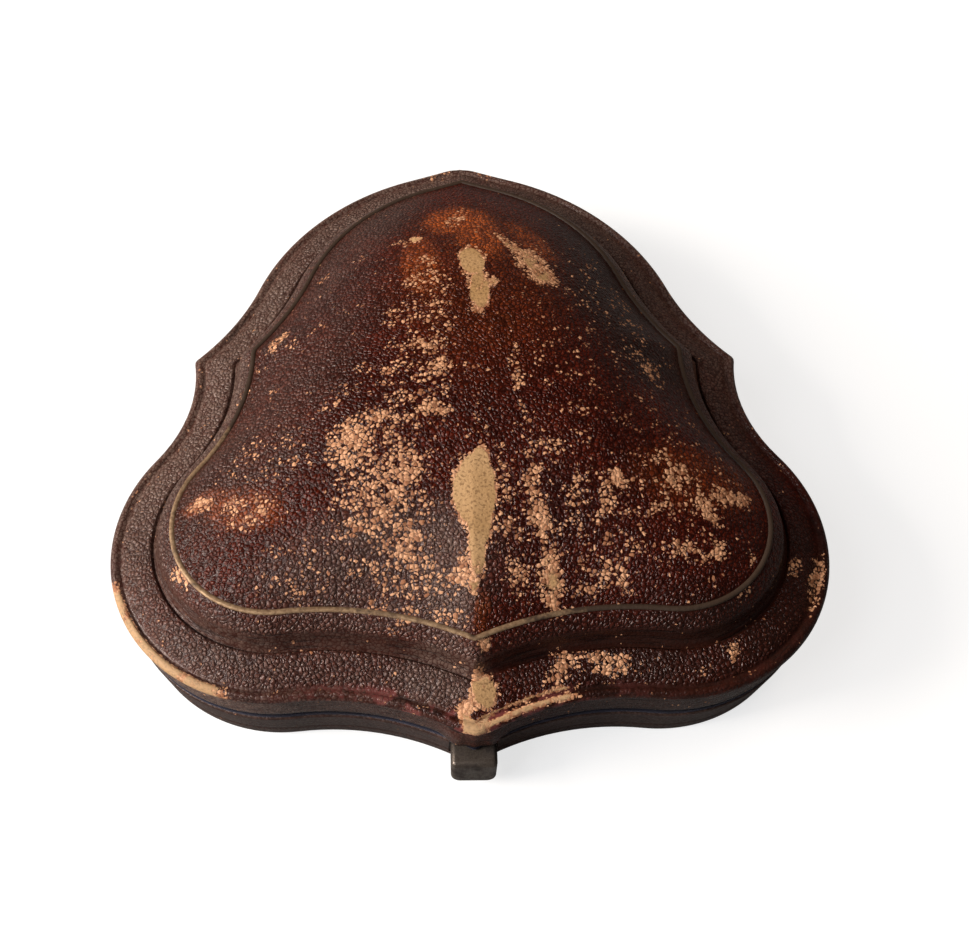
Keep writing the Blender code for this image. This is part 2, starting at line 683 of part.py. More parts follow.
def make_velvet_lining(parent):
    """Velvet over the rim of the base, which shows as a dark line under the lid, with a collar that
    rises inside the lid and a skirt down the wall of the tray."""
    low = BASE_HEIGHT + GLUE_LINE
    collar_top = VELVET_TOP + COLLAR_RISE
    inner = LINING_INSET + VELVET
    profile = [
        (VELVET_EDGE + EDGE_ROUND, low),
        (LINING_INSET, low),
        (LINING_INSET, FLOOR_Z + FIT),
        (inner, FLOOR_Z + FIT),
        (inner, collar_top - VELVET_EDGE),
        (inner - VELVET_EDGE, collar_top),
        (LINING_INSET + VELVET_EDGE / 2.0, collar_top),
        (LINING_INSET, collar_top - VELVET_EDGE),
        (LINING_INSET, VELVET_TOP),
        (VELVET_EDGE * 2.0, VELVET_TOP),
        (VELVET_EDGE, (VELVET_TOP + low) / 2.0),
    ]
    flat = CAVITY_INSET
    rings = [ring(inset, z, flat_back=inset > flat) for inset, z in profile]
    look = material("velvet_lining", VELVET_COLOUR, 0.85)
    lining = finish("velvet_lining", loft(rings, "ring"), look, parent)
    half = HOUSING_WIDTH / 2.0 + HOUSING_FLANGE + FIT * 2.0
    clear = box_cutter(
        "lining_catch_cutter",
        -half,
        half,
        HOUSING_FRONT - CENTRE_Y,
        BLOCK_FACE_Y - CENTRE_Y + FIT,
        -OVERRUN,
        collar_top + OVERRUN,
    )
    combine(lining, clear, "DIFFERENCE")
    return lining


def make_insert_board(parent):
    """Card under the jewel pad."""
    flats = {"flat_back": True, "flat_front": True}
    rings = [ring(PAD_INSET, z, **flats) for z in (FLOOR_Z + GLUE_LINE, BOARD_TOP)]
    look = material("insert_board", CARD_COLOUR, 0.85)
    return finish("insert_board", loft(rings), look, parent)


def well_cutter(name, x, y, radius_x, radius_y, top):
    """An oval well with a rolled lip and a dished floor."""
    turn = [2.0 * math.pi * i / WELL_SIDES for i in range(WELL_SIDES)]
    steps = [
        (-WELL_DEPTH, -WELL_FLARE * 2.0),
        (WELL_FLARE - WELL_DEPTH, 0.0),
        (-WELL_FLARE, 0.0),
        (0.0, WELL_FLARE),
        (OVERRUN, WELL_FLARE * 2.0),
    ]
    rings = []
    for z, grow in steps:
        wide = radius_x + grow
        deep = radius_y + grow
        rings.append([Vector((x + wide * math.cos(a), y + deep * math.sin(a), top + z)) for a in turn])
    return cutter(name, loft(rings))


def make_jewel_pad(parent):
    """Velvet covered pad with drawn in sides, a soft crown and three wells for a brooch and earrings."""
    low = BOARD_TOP + GLUE_LINE
    high = BASE_HEIGHT + PAD_PROUD
    flats = {"flat_back": True, "flat_front": True}
    sides = [
        (PAD_INSET + VELVET_EDGE, low),
        (PAD_INSET, low + PAD_SHOULDER),
        (PAD_INSET, high - PAD_SHOULDER),
        (PAD_INSET + PAD_SHOULDER / 3.0, high - PAD_SHOULDER / 3.0),
        (PAD_INSET + PAD_SHOULDER, high),
    ]
    rings = [ring(inset, z, **flats) for inset, z in sides]
    top = Vector((0.0, DOME_TOP_Y_SHARE * HALF_WIDTH - CENTRE_Y, high))
    for step in PAD_SHARES:
        lift = Vector((0.0, 0.0, PAD_CROWN * math.sqrt(1.0 - (1.0 - step) ** 2)))
        rings.append([p.lerp(top, step) + lift for p in rings[4]])
    bm = loft(rings, None, top + Vector((0.0, 0.0, PAD_CROWN)))
    pad = finish("jewel_pad", bm, material("jewel_pad", VELVET_COLOUR, 0.9), parent)
    size = HALF_WIDTH
    wide, deep = BROOCH_WELL_SHARES
    lip = high + PAD_CROWN / 2.0
    brooch = well_cutter(
        "brooch_well_cutter", 0.0, BROOCH_WELL_Y_SHARE * size - CENTRE_Y, wide * size, deep * size, lip
    )
    combine(pad, brooch, "DIFFERENCE")
    for side, word in ((-1.0, "left"), (1.0, "right")):
        radius = EARRING_WELL_SHARE * size
        x = side * EARRING_WELL_X_SHARE * size
        y = EARRING_WELL_Y_SHARE * size - CENTRE_Y
        well = well_cutter(f"earring_well_{word}_cutter", x, y, radius, radius, lip)
        combine(pad, well, "DIFFERENCE")
    return pad


# Hinge


def barrel(bm, x0, x1, radius):
    """A round bar along X on the hinge axis."""
    made = bmesh.ops.create_cone(
        bm,
        cap_ends=True,
        segments=BARREL_SIDES,
        radius1=radius,
        radius2=radius,
        depth=x1 - x0,
    )
    turn = Vector((0.0, 0.0, 1.0)).rotation_difference(Vector((1.0, 0.0, 0.0))).to_matrix()
    bmesh.ops.rotate(bm, verts=made["verts"], cent=(0.0, 0.0, 0.0), matrix=turn)
    middle = Vector(((x0 + x1) / 2.0, AXIS_Y - CENTRE_Y, AXIS_Z))
    bmesh.ops.translate(bm, verts=made["verts"], vec=middle)


def make_hinge_leaf(name, parent, origin, spans, low, screws):
    """One hinge leaf: a flat plate whose knuckles wrap round the pin, with countersunk holes."""
    half = HINGE_WIDTH / 2.0
    back = AXIS_Y - CENTRE_Y
    bm = bmesh.new()
    box(bm, -half, half, back - LEAF_DEPTH, back, low, low + LEAF_THICKNESS)
    leaf = finish(name, bm, material(name, BRASS_COLOUR, 0.35, 1.0), parent, origin)
    gaps = []
    edges = [-half - OVERRUN] + [x for span in spans for x in span] + [half + OVERRUN]
    for x0, x1 in zip(edges[0::2], edges[1::2]):
        gaps.append((x0, x1))
    for number, (x0, x1) in enumerate(gaps):
        clear = box_cutter(
            f"{name}_gap_{number}_cutter",
            x0,
            x1,
            back - BARREL_RADIUS - KNUCKLE_GAP,
            back + OVERRUN,
            low - OVERRUN,
            low + OVERRUN,
        )
        combine(leaf, clear, "DIFFERENCE")
    for number, (x0, x1) in enumerate(spans):
        bm = bmesh.new()
        barrel(bm, max(x0, -half), min(x1, half), BARREL_RADIUS)
        combine(leaf, cutter(f"{name}_knuckle_{number}_cutter", bm), "UNION")
    bm = bmesh.new()
    barrel(bm, -half - OVERRUN, half + OVERRUN, PIN_RADIUS + PIN_CLEARANCE)
    combine(leaf, cutter(f"{name}_bore_cutter", bm), "DIFFERENCE")
    cut_screw_holes(leaf, name, screws)
    return leaf


def make_hinge_pin(parent):
    """Steel pin through the knuckles, a little longer than the hinge."""
    bm = bmesh.new()
    reach = HINGE_WIDTH / 2.0 + KNUCKLE_GAP
    barrel(bm, -reach, reach, PIN_RADIUS)
    origin = (0.0, AXIS_Y - CENTRE_Y, AXIS_Z)
    return finish("hinge_pin", bm, material("hinge_pin", STEEL_COLOUR, 0.35, 1.0), parent, origin)


# Screws


def turned(profile):
    """A turned solid round Z from radius and height pairs."""
    steps = [2.0 * math.pi * i / SCREW_SIDES for i in range(SCREW_SIDES)]
    return loft([[Vector((r * math.cos(a), r * math.sin(a), z)) for a in steps] for r, z in profile])


def screw_mesh():
    """Countersunk wood screw, head up, with its top face at the origin."""
    tip = SCREW_RADIUS / 3.0
    profile = [
        (tip, -SCREW_LENGTH),
        (SCREW_RADIUS, SCREW_RADIUS * 2.0 - SCREW_LENGTH),
        (SCREW_RADIUS, -SCREW_HEAD_HEIGHT),
        (SCREW_HEAD_RADIUS, -SCREW_LAND),
        (SCREW_HEAD_RADIUS, 0.0),
    ]
    bm = turned(profile)
    bmesh.ops.recalc_face_normals(bm, faces=bm.faces)
    mesh = bpy.data.meshes.new("screw")
    bm.to_mesh(mesh)
    bm.free()
    mesh.shade_smooth()
    mesh.set_sharp_from_angle(angle=math.radians(35.0))
    mesh.materials.append(material("screw", BRASS_COLOUR, 0.4, 1.0))
    return mesh


def add_screw(name, mesh, parent, spot):
    """A screw at a spot of x, y, the height of its seat and the side it is driven from."""
    x, y, z, up = spot
    screw = place(name, mesh, parent, (x, y, z))
    if up < 0.0:
        screw.rotation_euler = (math.pi, 0.0, 0.0)
    half = SCREW_HEAD_RADIUS + OVERRUN
    top = z + up * OVERRUN
    floor = z - up * SLOT_DEPTH
    slot = box_cutter(
        f"{name}_slot_cutter",
        x - half,
        x + half,
        y - SLOT_WIDTH / 2.0,
        y + SLOT_WIDTH / 2.0,
        min(top, floor),
        max(top, floor),
    )
    combine(screw, slot, "DIFFERENCE")
    return screw


def screw_hole(name, spot):
    """The clearance hole of one screw, countersunk on the side that it is driven from."""
    x, y, z, up = spot
    wide = SCREW_HEAD_RADIUS + SCREW_CLEARANCE
    thin = SCREW_RADIUS + SCREW_CLEARANCE
    neck = SCREW_HEAD_HEIGHT + SCREW_CLEARANCE
    profile = [
        (thin, -SCREW_LENGTH - SCREW_CLEARANCE),
        (thin, -neck),
        (wide, -SCREW_LAND - SCREW_CLEARANCE),
        (wide, SCREW_LENGTH),
    ]
    bm = turned(profile)
    if up < 0.0:
        bmesh.ops.scale(bm, verts=bm.verts, vec=(1.0, 1.0, -1.0))
    bmesh.ops.translate(bm, verts=bm.verts, vec=(x, y, z))
    return cutter(name, bm)


def cut_screw_holes(obj, name, spots):
    for number, spot in enumerate(spots):
        combine(obj, screw_hole(f"{name}_hole_{number}_cutter", spot), "DIFFERENCE")


# Catch


def make_housing(parent, screws):
    """Brass box let into the catch block. The slide runs on its ledges, and the hook drops in by the
    slot in its top."""
    half = HOUSING_WIDTH / 2.0
    wall = HOUSING_WALL
    front = HOUSING_FRONT - CENTRE_Y
    back = HOUSING_BACK - CENTRE_Y
    floor = HOOK_BOTTOM - FIT * 2.0 - wall
    deck = TRAY_TOP + GLUE_LINE
    bm = bmesh.new()
    box(bm, -half, half, front, back, floor, FLANGE_TOP)
    housing = finish(
        "catch_housing", bm, material("catch_housing", BRASS_COLOUR, 0.38, 1.0), parent
    )
    wing = half + HOUSING_FLANGE
    flange = box_cutter("housing_flange_cutter", -wing, wing, front + wall, back - wall, deck, FLANGE_TOP)
    combine(housing, flange, "UNION")
    room = SLIDE_WIDTH / 2.0 + FIT
    upper = box_cutter(
        "housing_upper_cutter",
        -room,
        room,
        front + wall,
        back - wall,
        SLIDE_Z - FIT,
        STEM_TOP + FIT,
    )
    lower = box_cutter(
        "housing_lower_cutter",
        -HOOK_WIDTH / 2.0 - FIT * 2.0,
        HOOK_WIDTH / 2.0 + FIT * 2.0,
        front + wall + FIT,
        back - wall - FIT,
        floor + wall,
        SLIDE_Z,
    )
    slot = box_cutter(
        "housing_slot_cutter",
        -HOOK_WIDTH / 2.0 - FIT,
        HOOK_WIDTH / 2.0 + FIT,
        HOOK_FRONT - FIT * 2.0 - CENTRE_Y,
        HOOK_REACH + FIT * 2.0 - CENTRE_Y,
        STEM_TOP,
        FLANGE_TOP + OVERRUN,
    )
    mouth = box_cutter(
        "housing_mouth_cutter",
        -STEM_WIDTH / 2.0 - FIT,
        STEM_WIDTH / 2.0 + FIT,
        front - OVERRUN,
        front + wall + FIT,
        STEM_BOTTOM - FIT,
        STEM_TOP + FIT,
    )
    for hole in (upper, lower, slot, mouth):
        combine(housing, hole, "DIFFERENCE")
    cut_screw_holes(housing, "catch_housing", screws)
    return housing


def make_button(parent, origin):
    """Bronze push button: a rounded tab on the front point with a forked stem behind it."""
    half = BUTTON_WIDTH / 2.0
    front = BUTTON_FRONT_Y - CENTRE_Y
    back = front + BUTTON_THICKNESS
    bm = bmesh.new()
    box(bm, -half, half, front, back, BUTTON_BOTTOM, BUTTON_TOP)
    middle = (BUTTON_BOTTOM + BUTTON_TOP) / 2.0
    long = [e for e in bm.edges if abs(e.verts[0].co.y - e.verts[1].co.y) > BUTTON_EDGE]
    low = [e for e in long if e.verts[0].co.z < middle]
    high = [e for e in long if e.verts[0].co.z > middle]
    bmesh.ops.bevel(bm, geom=low, offset=BUTTON_CORNER, segments=5, profile=0.5, affect="EDGES")
    high = [e for e in high if e.is_valid]
    bmesh.ops.bevel(bm, geom=high, offset=BUTTON_EDGE, segments=2, profile=0.5, affect="EDGES")
    rim = [e for e in bm.edges if all(abs(v.co.y - front) < BUTTON_EDGE / 4.0 for v in e.verts)]
    bmesh.ops.bevel(bm, geom=rim, offset=BUTTON_EDGE, segments=3, profile=0.5, affect="EDGES")
    look = material("push_button", BRONZE_COLOUR, 0.4, 1.0)
    button = finish("push_button", bm, look, parent, origin)
    stem = box_cutter(
        "button_stem_cutter",
        -STEM_WIDTH / 2.0,
        STEM_WIDTH / 2.0,
        back - BUTTON_THICKNESS / 2.0,
        SLIDE_FRONT - FIT - CENTRE_Y,
        STEM_BOTTOM,
        STEM_TOP,
    )
    fork = box_cutter(
        "button_fork_cutter",
        -STEM_WIDTH,
        STEM_WIDTH,
        back + FIT,
        SLIDE_FRONT - CENTRE_Y + OVERRUN,
        SLIDE_Z - FIT,
        SLIDE_Z + SLIDE_THICKNESS + FIT,
    )
    combine(button, stem, "UNION")
    combine(button, fork, "DIFFERENCE")
    return button


def make_slide(parent, origin):
    """Brass latch slide: a window that the hook drops through, and a tongue held in the button's stem."""
    half = SLIDE_WIDTH / 2.0
    bm = bmesh.new()
    box(
        bm,
        -half,
        half,
        SLIDE_FRONT - CENTRE_Y,
        SLIDE_BACK - CENTRE_Y,
        SLIDE_Z,
        SLIDE_Z + SLIDE_THICKNESS,
    )
    slide = finish("latch_slide", bm, material("latch_slide", BRASS_COLOUR, 0.35, 1.0), parent, origin)
    tongue = box_cutter(
        "slide_tongue_cutter",
        -TONGUE_WIDTH / 2.0,
        TONGUE_WIDTH / 2.0,
        BUTTON_FRONT_Y + BUTTON_THICKNESS + FIT * 2.0 - CENTRE_Y,
        SLIDE_FRONT + SLIDE_BAR / 2.0 - CENTRE_Y,
        SLIDE_Z,
        SLIDE_Z + SLIDE_THICKNESS,
    )
    window = box_cutter(
        "slide_window_cutter",
        -HOOK_WIDTH / 2.0 - FIT,
        HOOK_WIDTH / 2.0 + FIT,
        WINDOW_FRONT - CENTRE_Y,
        WINDOW_BACK - CENTRE_Y,
        SLIDE_Z - OVERRUN,
        SLIDE_Z + OVERRUN,
    )
    combine(slide, tongue, "UNION")
    combine(slide, window, "DIFFERENCE")
    return slide


def make_spring(parent):
    """Bowed leaf spring between the slide and the back wall of the housing."""
    half = SLIDE_WIDTH / 2.0 - FIT
    ends = HOUSING_INNER_BACK - FIT / 2.0 - CENTRE_Y
    middle = SLIDE_BACK + FIT / 2.0 - CENTRE_Y
    bow = ends - SPRING_THICKNESS - middle
    low = SLIDE_Z + (SLIDE_THICKNESS - SPRING_HEIGHT) / 2.0 + FIT
    rows = []
    for i in range(SPRING_STEPS + 1):
        x = half * (2.0 * i / SPRING_STEPS - 1.0)
        y = middle + bow * (x / half) ** 2
        corners = [(y, low), (y + SPRING_THICKNESS, low)]
        corners += [(y + SPRING_THICKNESS, low + SPRING_HEIGHT), (y, low + SPRING_HEIGHT)]
        rows.append([Vector((x, py, pz)) for py, pz in corners])
    look = material("latch_spring", STEEL_COLOUR, 0.3, 1.0)
    return finish("latch_spring", loft(rows), look, parent)


def make_strike(parent, origin, screws):
    """Brass hook plate under the front of the lid. Its nose snaps below the slide's back bar."""
    half = HOUSING_WIDTH / 2.0 + HOUSING_FLANGE / 2.0
    front = HOUSING_FRONT + HOUSING_WALL - CENTRE_Y
    back = HOUSING_BACK - HOUSING_WALL - CENTRE_Y
    high = SHELL_BOTTOM - GLUE_LINE
    low = high - STRIKE_THICKNESS
    bm = bmesh.new()
    box(bm, -half, half, front, back, low, high)
    look = material("strike_hook", BRASS_COLOUR, 0.35, 1.0)
    strike = finish("strike_hook", bm, look, parent, origin)
    outline = [
        (HOOK_FRONT, (low + high) / 2.0),
        (HOOK_FRONT, HOOK_BOTTOM),
        (HOOK_BACK, HOOK_BOTTOM),
        (HOOK_REACH, HOOK_BOTTOM + HOOK_NOSE / 2.0),
        (HOOK_REACH, HOOK_BOTTOM + HOOK_NOSE),
        (HOOK_BACK, HOOK_BOTTOM + HOOK_NOSE),
        (HOOK_BACK, (low + high) / 2.0),
    ]
    wide = HOOK_WIDTH / 2.0
    sides = [[Vector((x, y - CENTRE_Y, z)) for y, z in outline] for x in (-wide, wide)]
    combine(strike, cutter("strike_shank_cutter", loft(sides)), "UNION")
    cut_screw_holes(strike, "strike_hook", screws)
    return strike


# Pockets that the fittings need in the wood, the leather and the velvet


def cut_pockets(tray, base_leather, lining, shell, lid_leather):
    front = FRONT_POINT_Y - CENTRE_Y
    half = BUTTON_WIDTH / 2.0 + FIT
    head = box_cutter(
        "button_pocket_cutter",
        -half,
        half,
        front - OVERRUN,
        BUTTON_FRONT_Y + BUTTON_THICKNESS + BUTTON_TRAVEL + FIT - CENTRE_Y,
        BUTTON_BOTTOM - FIT,
        BUTTON_TOP + FIT,
    )
    stem = box_cutter(
        "stem_pocket_cutter",
        -STEM_WIDTH / 2.0 - FIT,
        STEM_WIDTH / 2.0 + FIT,
        front,
        HOUSING_FRONT + FIT - CENTRE_Y,
        STEM_BOTTOM - FIT,
        STEM_TOP + FIT,
    )
    mortise = box_cutter(
        "housing_pocket_cutter",
        -HOUSING_WIDTH / 2.0 - FIT,
        HOUSING_WIDTH / 2.0 + FIT,
        HOUSING_FRONT - FIT - CENTRE_Y,
        HOUSING_BACK + FIT - CENTRE_Y,
        HOOK_BOTTOM - FIT * 3.0 - HOUSING_WALL,
        TRAY_TOP + OVERRUN,
    )
    for obj in (tray, base_leather, lining):
        combine(obj, head, "DIFFERENCE")
    combine(tray, stem, "DIFFERENCE")
    combine(tray, mortise, "DIFFERENCE")
    wing = HOUSING_WIDTH / 2.0 + HOUSING_FLANGE + FIT
    rebate = box_cutter(
        "catch_rebate_cutter",
        -wing,
        wing,
        HOUSING_FRONT - CENTRE_Y,
        BLOCK_FACE_Y - CENTRE_Y + OVERRUN,
        TRAY_TOP + GLUE_LINE / 2.0,
        SHELL_BOTTOM - GLUE_LINE / 2.0,
    )
    combine(base_leather, rebate, "DIFFERENCE")
    combine(lid_leather, rebate, "DIFFERENCE")
    leaf_half = HINGE_WIDTH / 2.0 + FIT
    hinge = box_cutter(
        "hinge_rebate_cutter",
        -leaf_half,
        leaf_half,
        AXIS_Y - LEAF_DEPTH - FIT - CENTRE_Y,
        AXIS_Y + OVERRUN - CENTRE_Y,
        TRAY_TOP + GLUE_LINE / 2.0,
        SHELL_BOTTOM - GLUE_LINE / 2.0,
    )
    for obj in (base_leather, lining, lid_leather):
        combine(obj, hinge, "DIFFERENCE")


def build():
    clear_scene()
    axis = Vector((0.0, AXIS_Y - CENTRE_Y, AXIS_Z))
    button_at = Vector((0.0, BUTTON_FRONT_Y - CENTRE_Y, (BUTTON_TOP + BUTTON_BOTTOM) / 2.0))
    base = empty("base_body", (0.0, 0.0, 0.0))
    lid = empty("lid_body", axis, base)
    slide_body = empty("button_body", button_at, base)

    tray = make_base_tray(base)
    base_leather = make_base_leather(base)
    make_underside(base)
    lining = make_velvet_lining(base)
    make_insert_board(base)
    make_jewel_pad(base)

    shell = make_lid_shell(lid, axis)
    lid_leather = make_lid_leather(lid, axis)
    make_lid_border(lid, axis)
    make_lid_board(lid, axis)
    make_lid_silk(lid, axis)

    leaf_low = AXIS_Z - BARREL_RADIUS
    leaf_top = leaf_low + LEAF_THICKNESS
    lid_leaf_low = AXIS_Z + BARREL_RADIUS - LEAF_THICKNESS
    screw_y = AXIS_Y - LEAF_DEPTH * HINGE_SCREW_Y_SHARE - CENTRE_Y
    screw_x = HINGE_WIDTH * HINGE_SCREW_X_SHARE
    base_spots = [(-screw_x, screw_y, leaf_top, 1.0), (screw_x, screw_y, leaf_top, 1.0)]
    lid_spots = [(-screw_x, screw_y, lid_leaf_low, -1.0), (screw_x, screw_y, lid_leaf_low, -1.0)]
    half = HINGE_WIDTH / 2.0
    inner = HINGE_WIDTH / 6.0
    outer_spans = [(-half - OVERRUN, -inner - KNUCKLE_GAP), (inner + KNUCKLE_GAP, half + OVERRUN)]
    make_hinge_leaf("hinge_leaf_base", base, (0.0, 0.0, 0.0), outer_spans, leaf_low, base_spots)
    make_hinge_leaf("hinge_leaf_lid", lid, axis, [(-inner, inner)], lid_leaf_low, lid_spots)
    make_hinge_pin(base)

    flange_x = (HOUSING_WIDTH + HOUSING_FLANGE) / 2.0
    catch_y = (HOUSING_FRONT + HOUSING_BACK) / 2.0 - CENTRE_Y
    catch_spots = [(-flange_x, catch_y, FLANGE_TOP, 1.0), (flange_x, catch_y, FLANGE_TOP, 1.0)]
    strike_low = SHELL_BOTTOM - GLUE_LINE - STRIKE_THICKNESS
    strike_x = HOUSING_WIDTH / 2.0 - HOUSING_WALL
    strike_spots = [(-strike_x, catch_y, strike_low, -1.0), (strike_x, catch_y, strike_low, -1.0)]
    make_housing(base, catch_spots)
    make_button(slide_body, button_at)
    make_slide(slide_body, button_at)
    make_spring(base)
    make_strike(lid, axis, strike_spots)

    mesh = screw_mesh()
    groups = (
        ("hinge_screw_base", base, base_spots, tray),
        ("hinge_screw_lid", lid, lid_spots, shell),
        ("catch_screw", base, catch_spots, tray),
        ("strike_screw", lid, strike_spots, shell),
    )
    for name, body, spots, wood in groups:
        for word, spot in zip(("left", "right"), spots):
            add_screw(f"{name}_{word}", mesh, body, spot)
        cut_screw_holes(wood, name, spots)
    cut_pockets(tray, base_leather, lining, shell, lid_leather)


build()
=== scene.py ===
import math

import bmesh
import bpy
import numpy as np
from mathutils import Matrix, Vector


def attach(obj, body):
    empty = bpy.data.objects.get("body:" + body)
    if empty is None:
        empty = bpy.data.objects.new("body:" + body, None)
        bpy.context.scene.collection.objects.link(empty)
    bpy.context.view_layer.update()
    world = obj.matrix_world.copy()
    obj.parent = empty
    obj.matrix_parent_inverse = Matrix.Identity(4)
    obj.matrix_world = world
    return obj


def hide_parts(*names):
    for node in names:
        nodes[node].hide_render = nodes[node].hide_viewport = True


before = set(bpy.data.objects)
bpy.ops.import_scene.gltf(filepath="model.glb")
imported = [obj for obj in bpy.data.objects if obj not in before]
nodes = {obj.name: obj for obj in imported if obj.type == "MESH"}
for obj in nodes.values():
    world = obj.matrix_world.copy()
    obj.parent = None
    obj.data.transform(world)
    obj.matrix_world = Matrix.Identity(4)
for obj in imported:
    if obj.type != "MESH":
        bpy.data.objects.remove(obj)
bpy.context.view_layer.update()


# Wooden tray and lid shell
# The case is carved from two blocks of plain limewood. The leather, velvet and fittings are glued or
# screwed to it, so the bare wood shows only in the pockets of the catch and the hinge.


class Steps:
    """A node tree built in steps. Each step adds one node, and takes other nodes' sockets or plain values."""

    def __init__(self, tree):
        self.tree = tree

    def feed(self, socket, value):
        if isinstance(value, bpy.types.NodeSocket):
            self.tree.links.new(value, socket)
        else:
            socket.default_value = value

    def add(self, kind, inputs=None, **settings):
        node = self.tree.nodes.new(kind)
        for key, value in settings.items():
            setattr(node, key, value)
        for key, value in (inputs or {}).items():
            self.feed(node.inputs[key], value)
        return node

    def maths(self, operation, *values, clamp=False):
        inputs = dict(enumerate(values))
        return self.add("ShaderNodeMath", inputs, operation=operation, use_clamp=clamp).outputs[0]

    def times(self, first, second, clamp=False):
        return self.maths("MULTIPLY", first, second, clamp=clamp)

    def times_plus(self, first, second, third):
        return self.maths("MULTIPLY_ADD", first, second, third)

    def less(self, first, second):
        return self.maths("SUBTRACT", first, second)

    def ramp(self, value, low, high, out_low=0.0, out_high=1.0):
        """A value taken smoothly from one range to another."""
        keys = ("Value", "From Min", "From Max", "To Min", "To Max")
        inputs = dict(zip(keys, (value, low, high, out_low, out_high)))
        return self.add("ShaderNodeMapRange", inputs, interpolation_type="SMOOTHSTEP").outputs["Result"]

    def blend(self, amount, first, second):
        """Two colours mixed."""
        node = self.add("ShaderNodeMix", data_type="RGBA")
        sockets = {s.identifier: s for s in (*node.inputs, *node.outputs)}
        self.feed(sockets["Factor_Float"], amount)
        for key, colour in (("A_Color", first), ("B_Color", second)):
            self.feed(sockets[key], (*colour, 1.0) if isinstance(colour, tuple) else colour)
        return sockets["Result_Color"]

    def noise(self, scale, detail=3.0, roughness=0.55, at=None):
        place = self.place if at is None else at
        inputs = {"Vector": place, "Scale": scale, "Detail": detail, "Roughness": roughness}
        return self.add("ShaderNodeTexNoise", inputs).outputs["Fac"]

    def drawn_out(self, *scale):
        """The place, scaled so that a pattern on it is drawn out one way."""
        return self.add("ShaderNodeMapping", {"Vector": self.place, "Scale": scale}).outputs["Vector"]


class Finish(Steps):
    """A new material. What it is given goes to the sockets of its Principled shader."""

    def __init__(self, name, roughness, metallic=0.0):
        self.made = bpy.data.materials.new(name)
        self.made.use_nodes = True
        super().__init__(self.made.node_tree)
        self.place = self.add("ShaderNodeTexCoord").outputs["Object"]
        self.give({"Roughness": roughness, "Metallic": metallic})

    def give(self, values):
        for key, value in values.items():
            self.feed(self.tree.nodes["Principled BSDF"].inputs[key], value)

    def relief(self, height, depth):
        bump = self.add("ShaderNodeBump", {"Height": height, "Distance": depth, "Strength": 1.0})
        self.give({"Normal": bump.outputs["Normal"]})


def limewood():
    wood = Finish("carved_limewood", 0.72)
    along = wood.drawn_out(1.0, 0.08, 1.0)
    rings = wood.noise(900.0, 4.0, 0.6, along)
    broad = wood.noise(160.0, 2.0, at=along)
    grain = wood.blend(wood.ramp(rings, 0.3, 0.7), (0.30, 0.17, 0.075), (0.47, 0.31, 0.16))
    colour = wood.blend(wood.ramp(broad, 0.35, 0.7, 0.0, 0.5), grain, (0.36, 0.2, 0.09))
    wood.give({"Base Color": colour, "Roughness": wood.ramp(rings, 0.2, 0.8, 0.62, 0.82)})
    wood.relief(rings, 0.00008)
    return wood.made


def dress(material, *names):
    """CAD pieces that keep their shape and get their finish."""
    for name in names:
        nodes[name].data.materials.clear()
        nodes[name].data.materials.append(material)


dress(limewood(), "base_tray", "lid_shell")


# Paper underside and the boards of the linings
# Black glazed paper is pasted over the bottom of the tray. Grey pulp boards stiffen the jewel pad and the
# silk of the lid.


def paper(name, colour, fleck, roughness):
    sheet = Finish(name, roughness)
    fibres, clouds = sheet.noise(1400.0, 4.0, 0.65), sheet.noise(90.0, 3.0)
    tone = sheet.blend(sheet.ramp(fibres, 0.45, 0.75), colour, fleck)
    sheet.give({"Base Color": sheet.blend(sheet.ramp(clouds, 0.5, 0.75, 0.0, 0.35), tone, fleck)})
    sheet.relief(fibres, 0.00005)
    return sheet.made


dress(paper("black_paper", (0.012, 0.011, 0.012), (0.05, 0.042, 0.036), 0.6), "base_underside")
dress(paper("pulp_board", (0.30, 0.25, 0.18), (0.42, 0.36, 0.27), 0.9), "insert_board", "lid_board")


# Leather of the base
# One strip of thin goatskin is wrapped round the base wall, pared and turned over the rim and in under
# the bottom. One blind line is tooled round it. The outline of the case is worked out here.

half_width = 0.059
middle_y = 0.011485
rim_base = 0.0098
rim_lid = 0.0117
front_share, back_share = -0.837, 1.217
lower_radius_share, lower_y_share = 0.461, -0.2736
side_shares = (0.829, 0.3725)
upper_shares, upper_radius_share = (-0.0873, 0.4173), 0.779
hollow_shares = (0.80, 0.475, 0.80, 3.39)
arc_steps = (22, 62, 14, 14, 46, 14)
tip_crowding = 1.35


def right_of(start, start_radius, end, end_radius):
    """The crossing of two circles to the right of the line between their centres."""
    line = end - start
    length = float(np.hypot(*line))
    along = (start_radius**2 - end_radius**2 + length**2) / (2.0 * length)
    across = math.sqrt(max(start_radius**2 - along**2, 0.0))
    return start + line / length * along + np.array([line[1], -line[0]]) / length * across


def swept(centre, radius, start, end, steps, lobe, crowd=0):
    """Points along an arc. They crowd towards its start (1) or its end (-1), where a sharp point lies."""
    first = math.atan2(start[1] - centre[1], start[0] - centre[0])
    turn = (math.atan2(end[1] - centre[1], end[0] - centre[0]) - first) % (2.0 * math.pi)
    if not lobe and turn > math.pi:
        turn -= 2.0 * math.pi
    share = np.arange(steps) / steps
    if crowd > 0:
        share = share**tip_crowding
    if crowd < 0:
        share = 1.0 - (1.0 - share) ** tip_crowding
    angle = first + turn * share
    return centre + radius * np.stack([np.cos(angle), np.sin(angle)], axis=1)


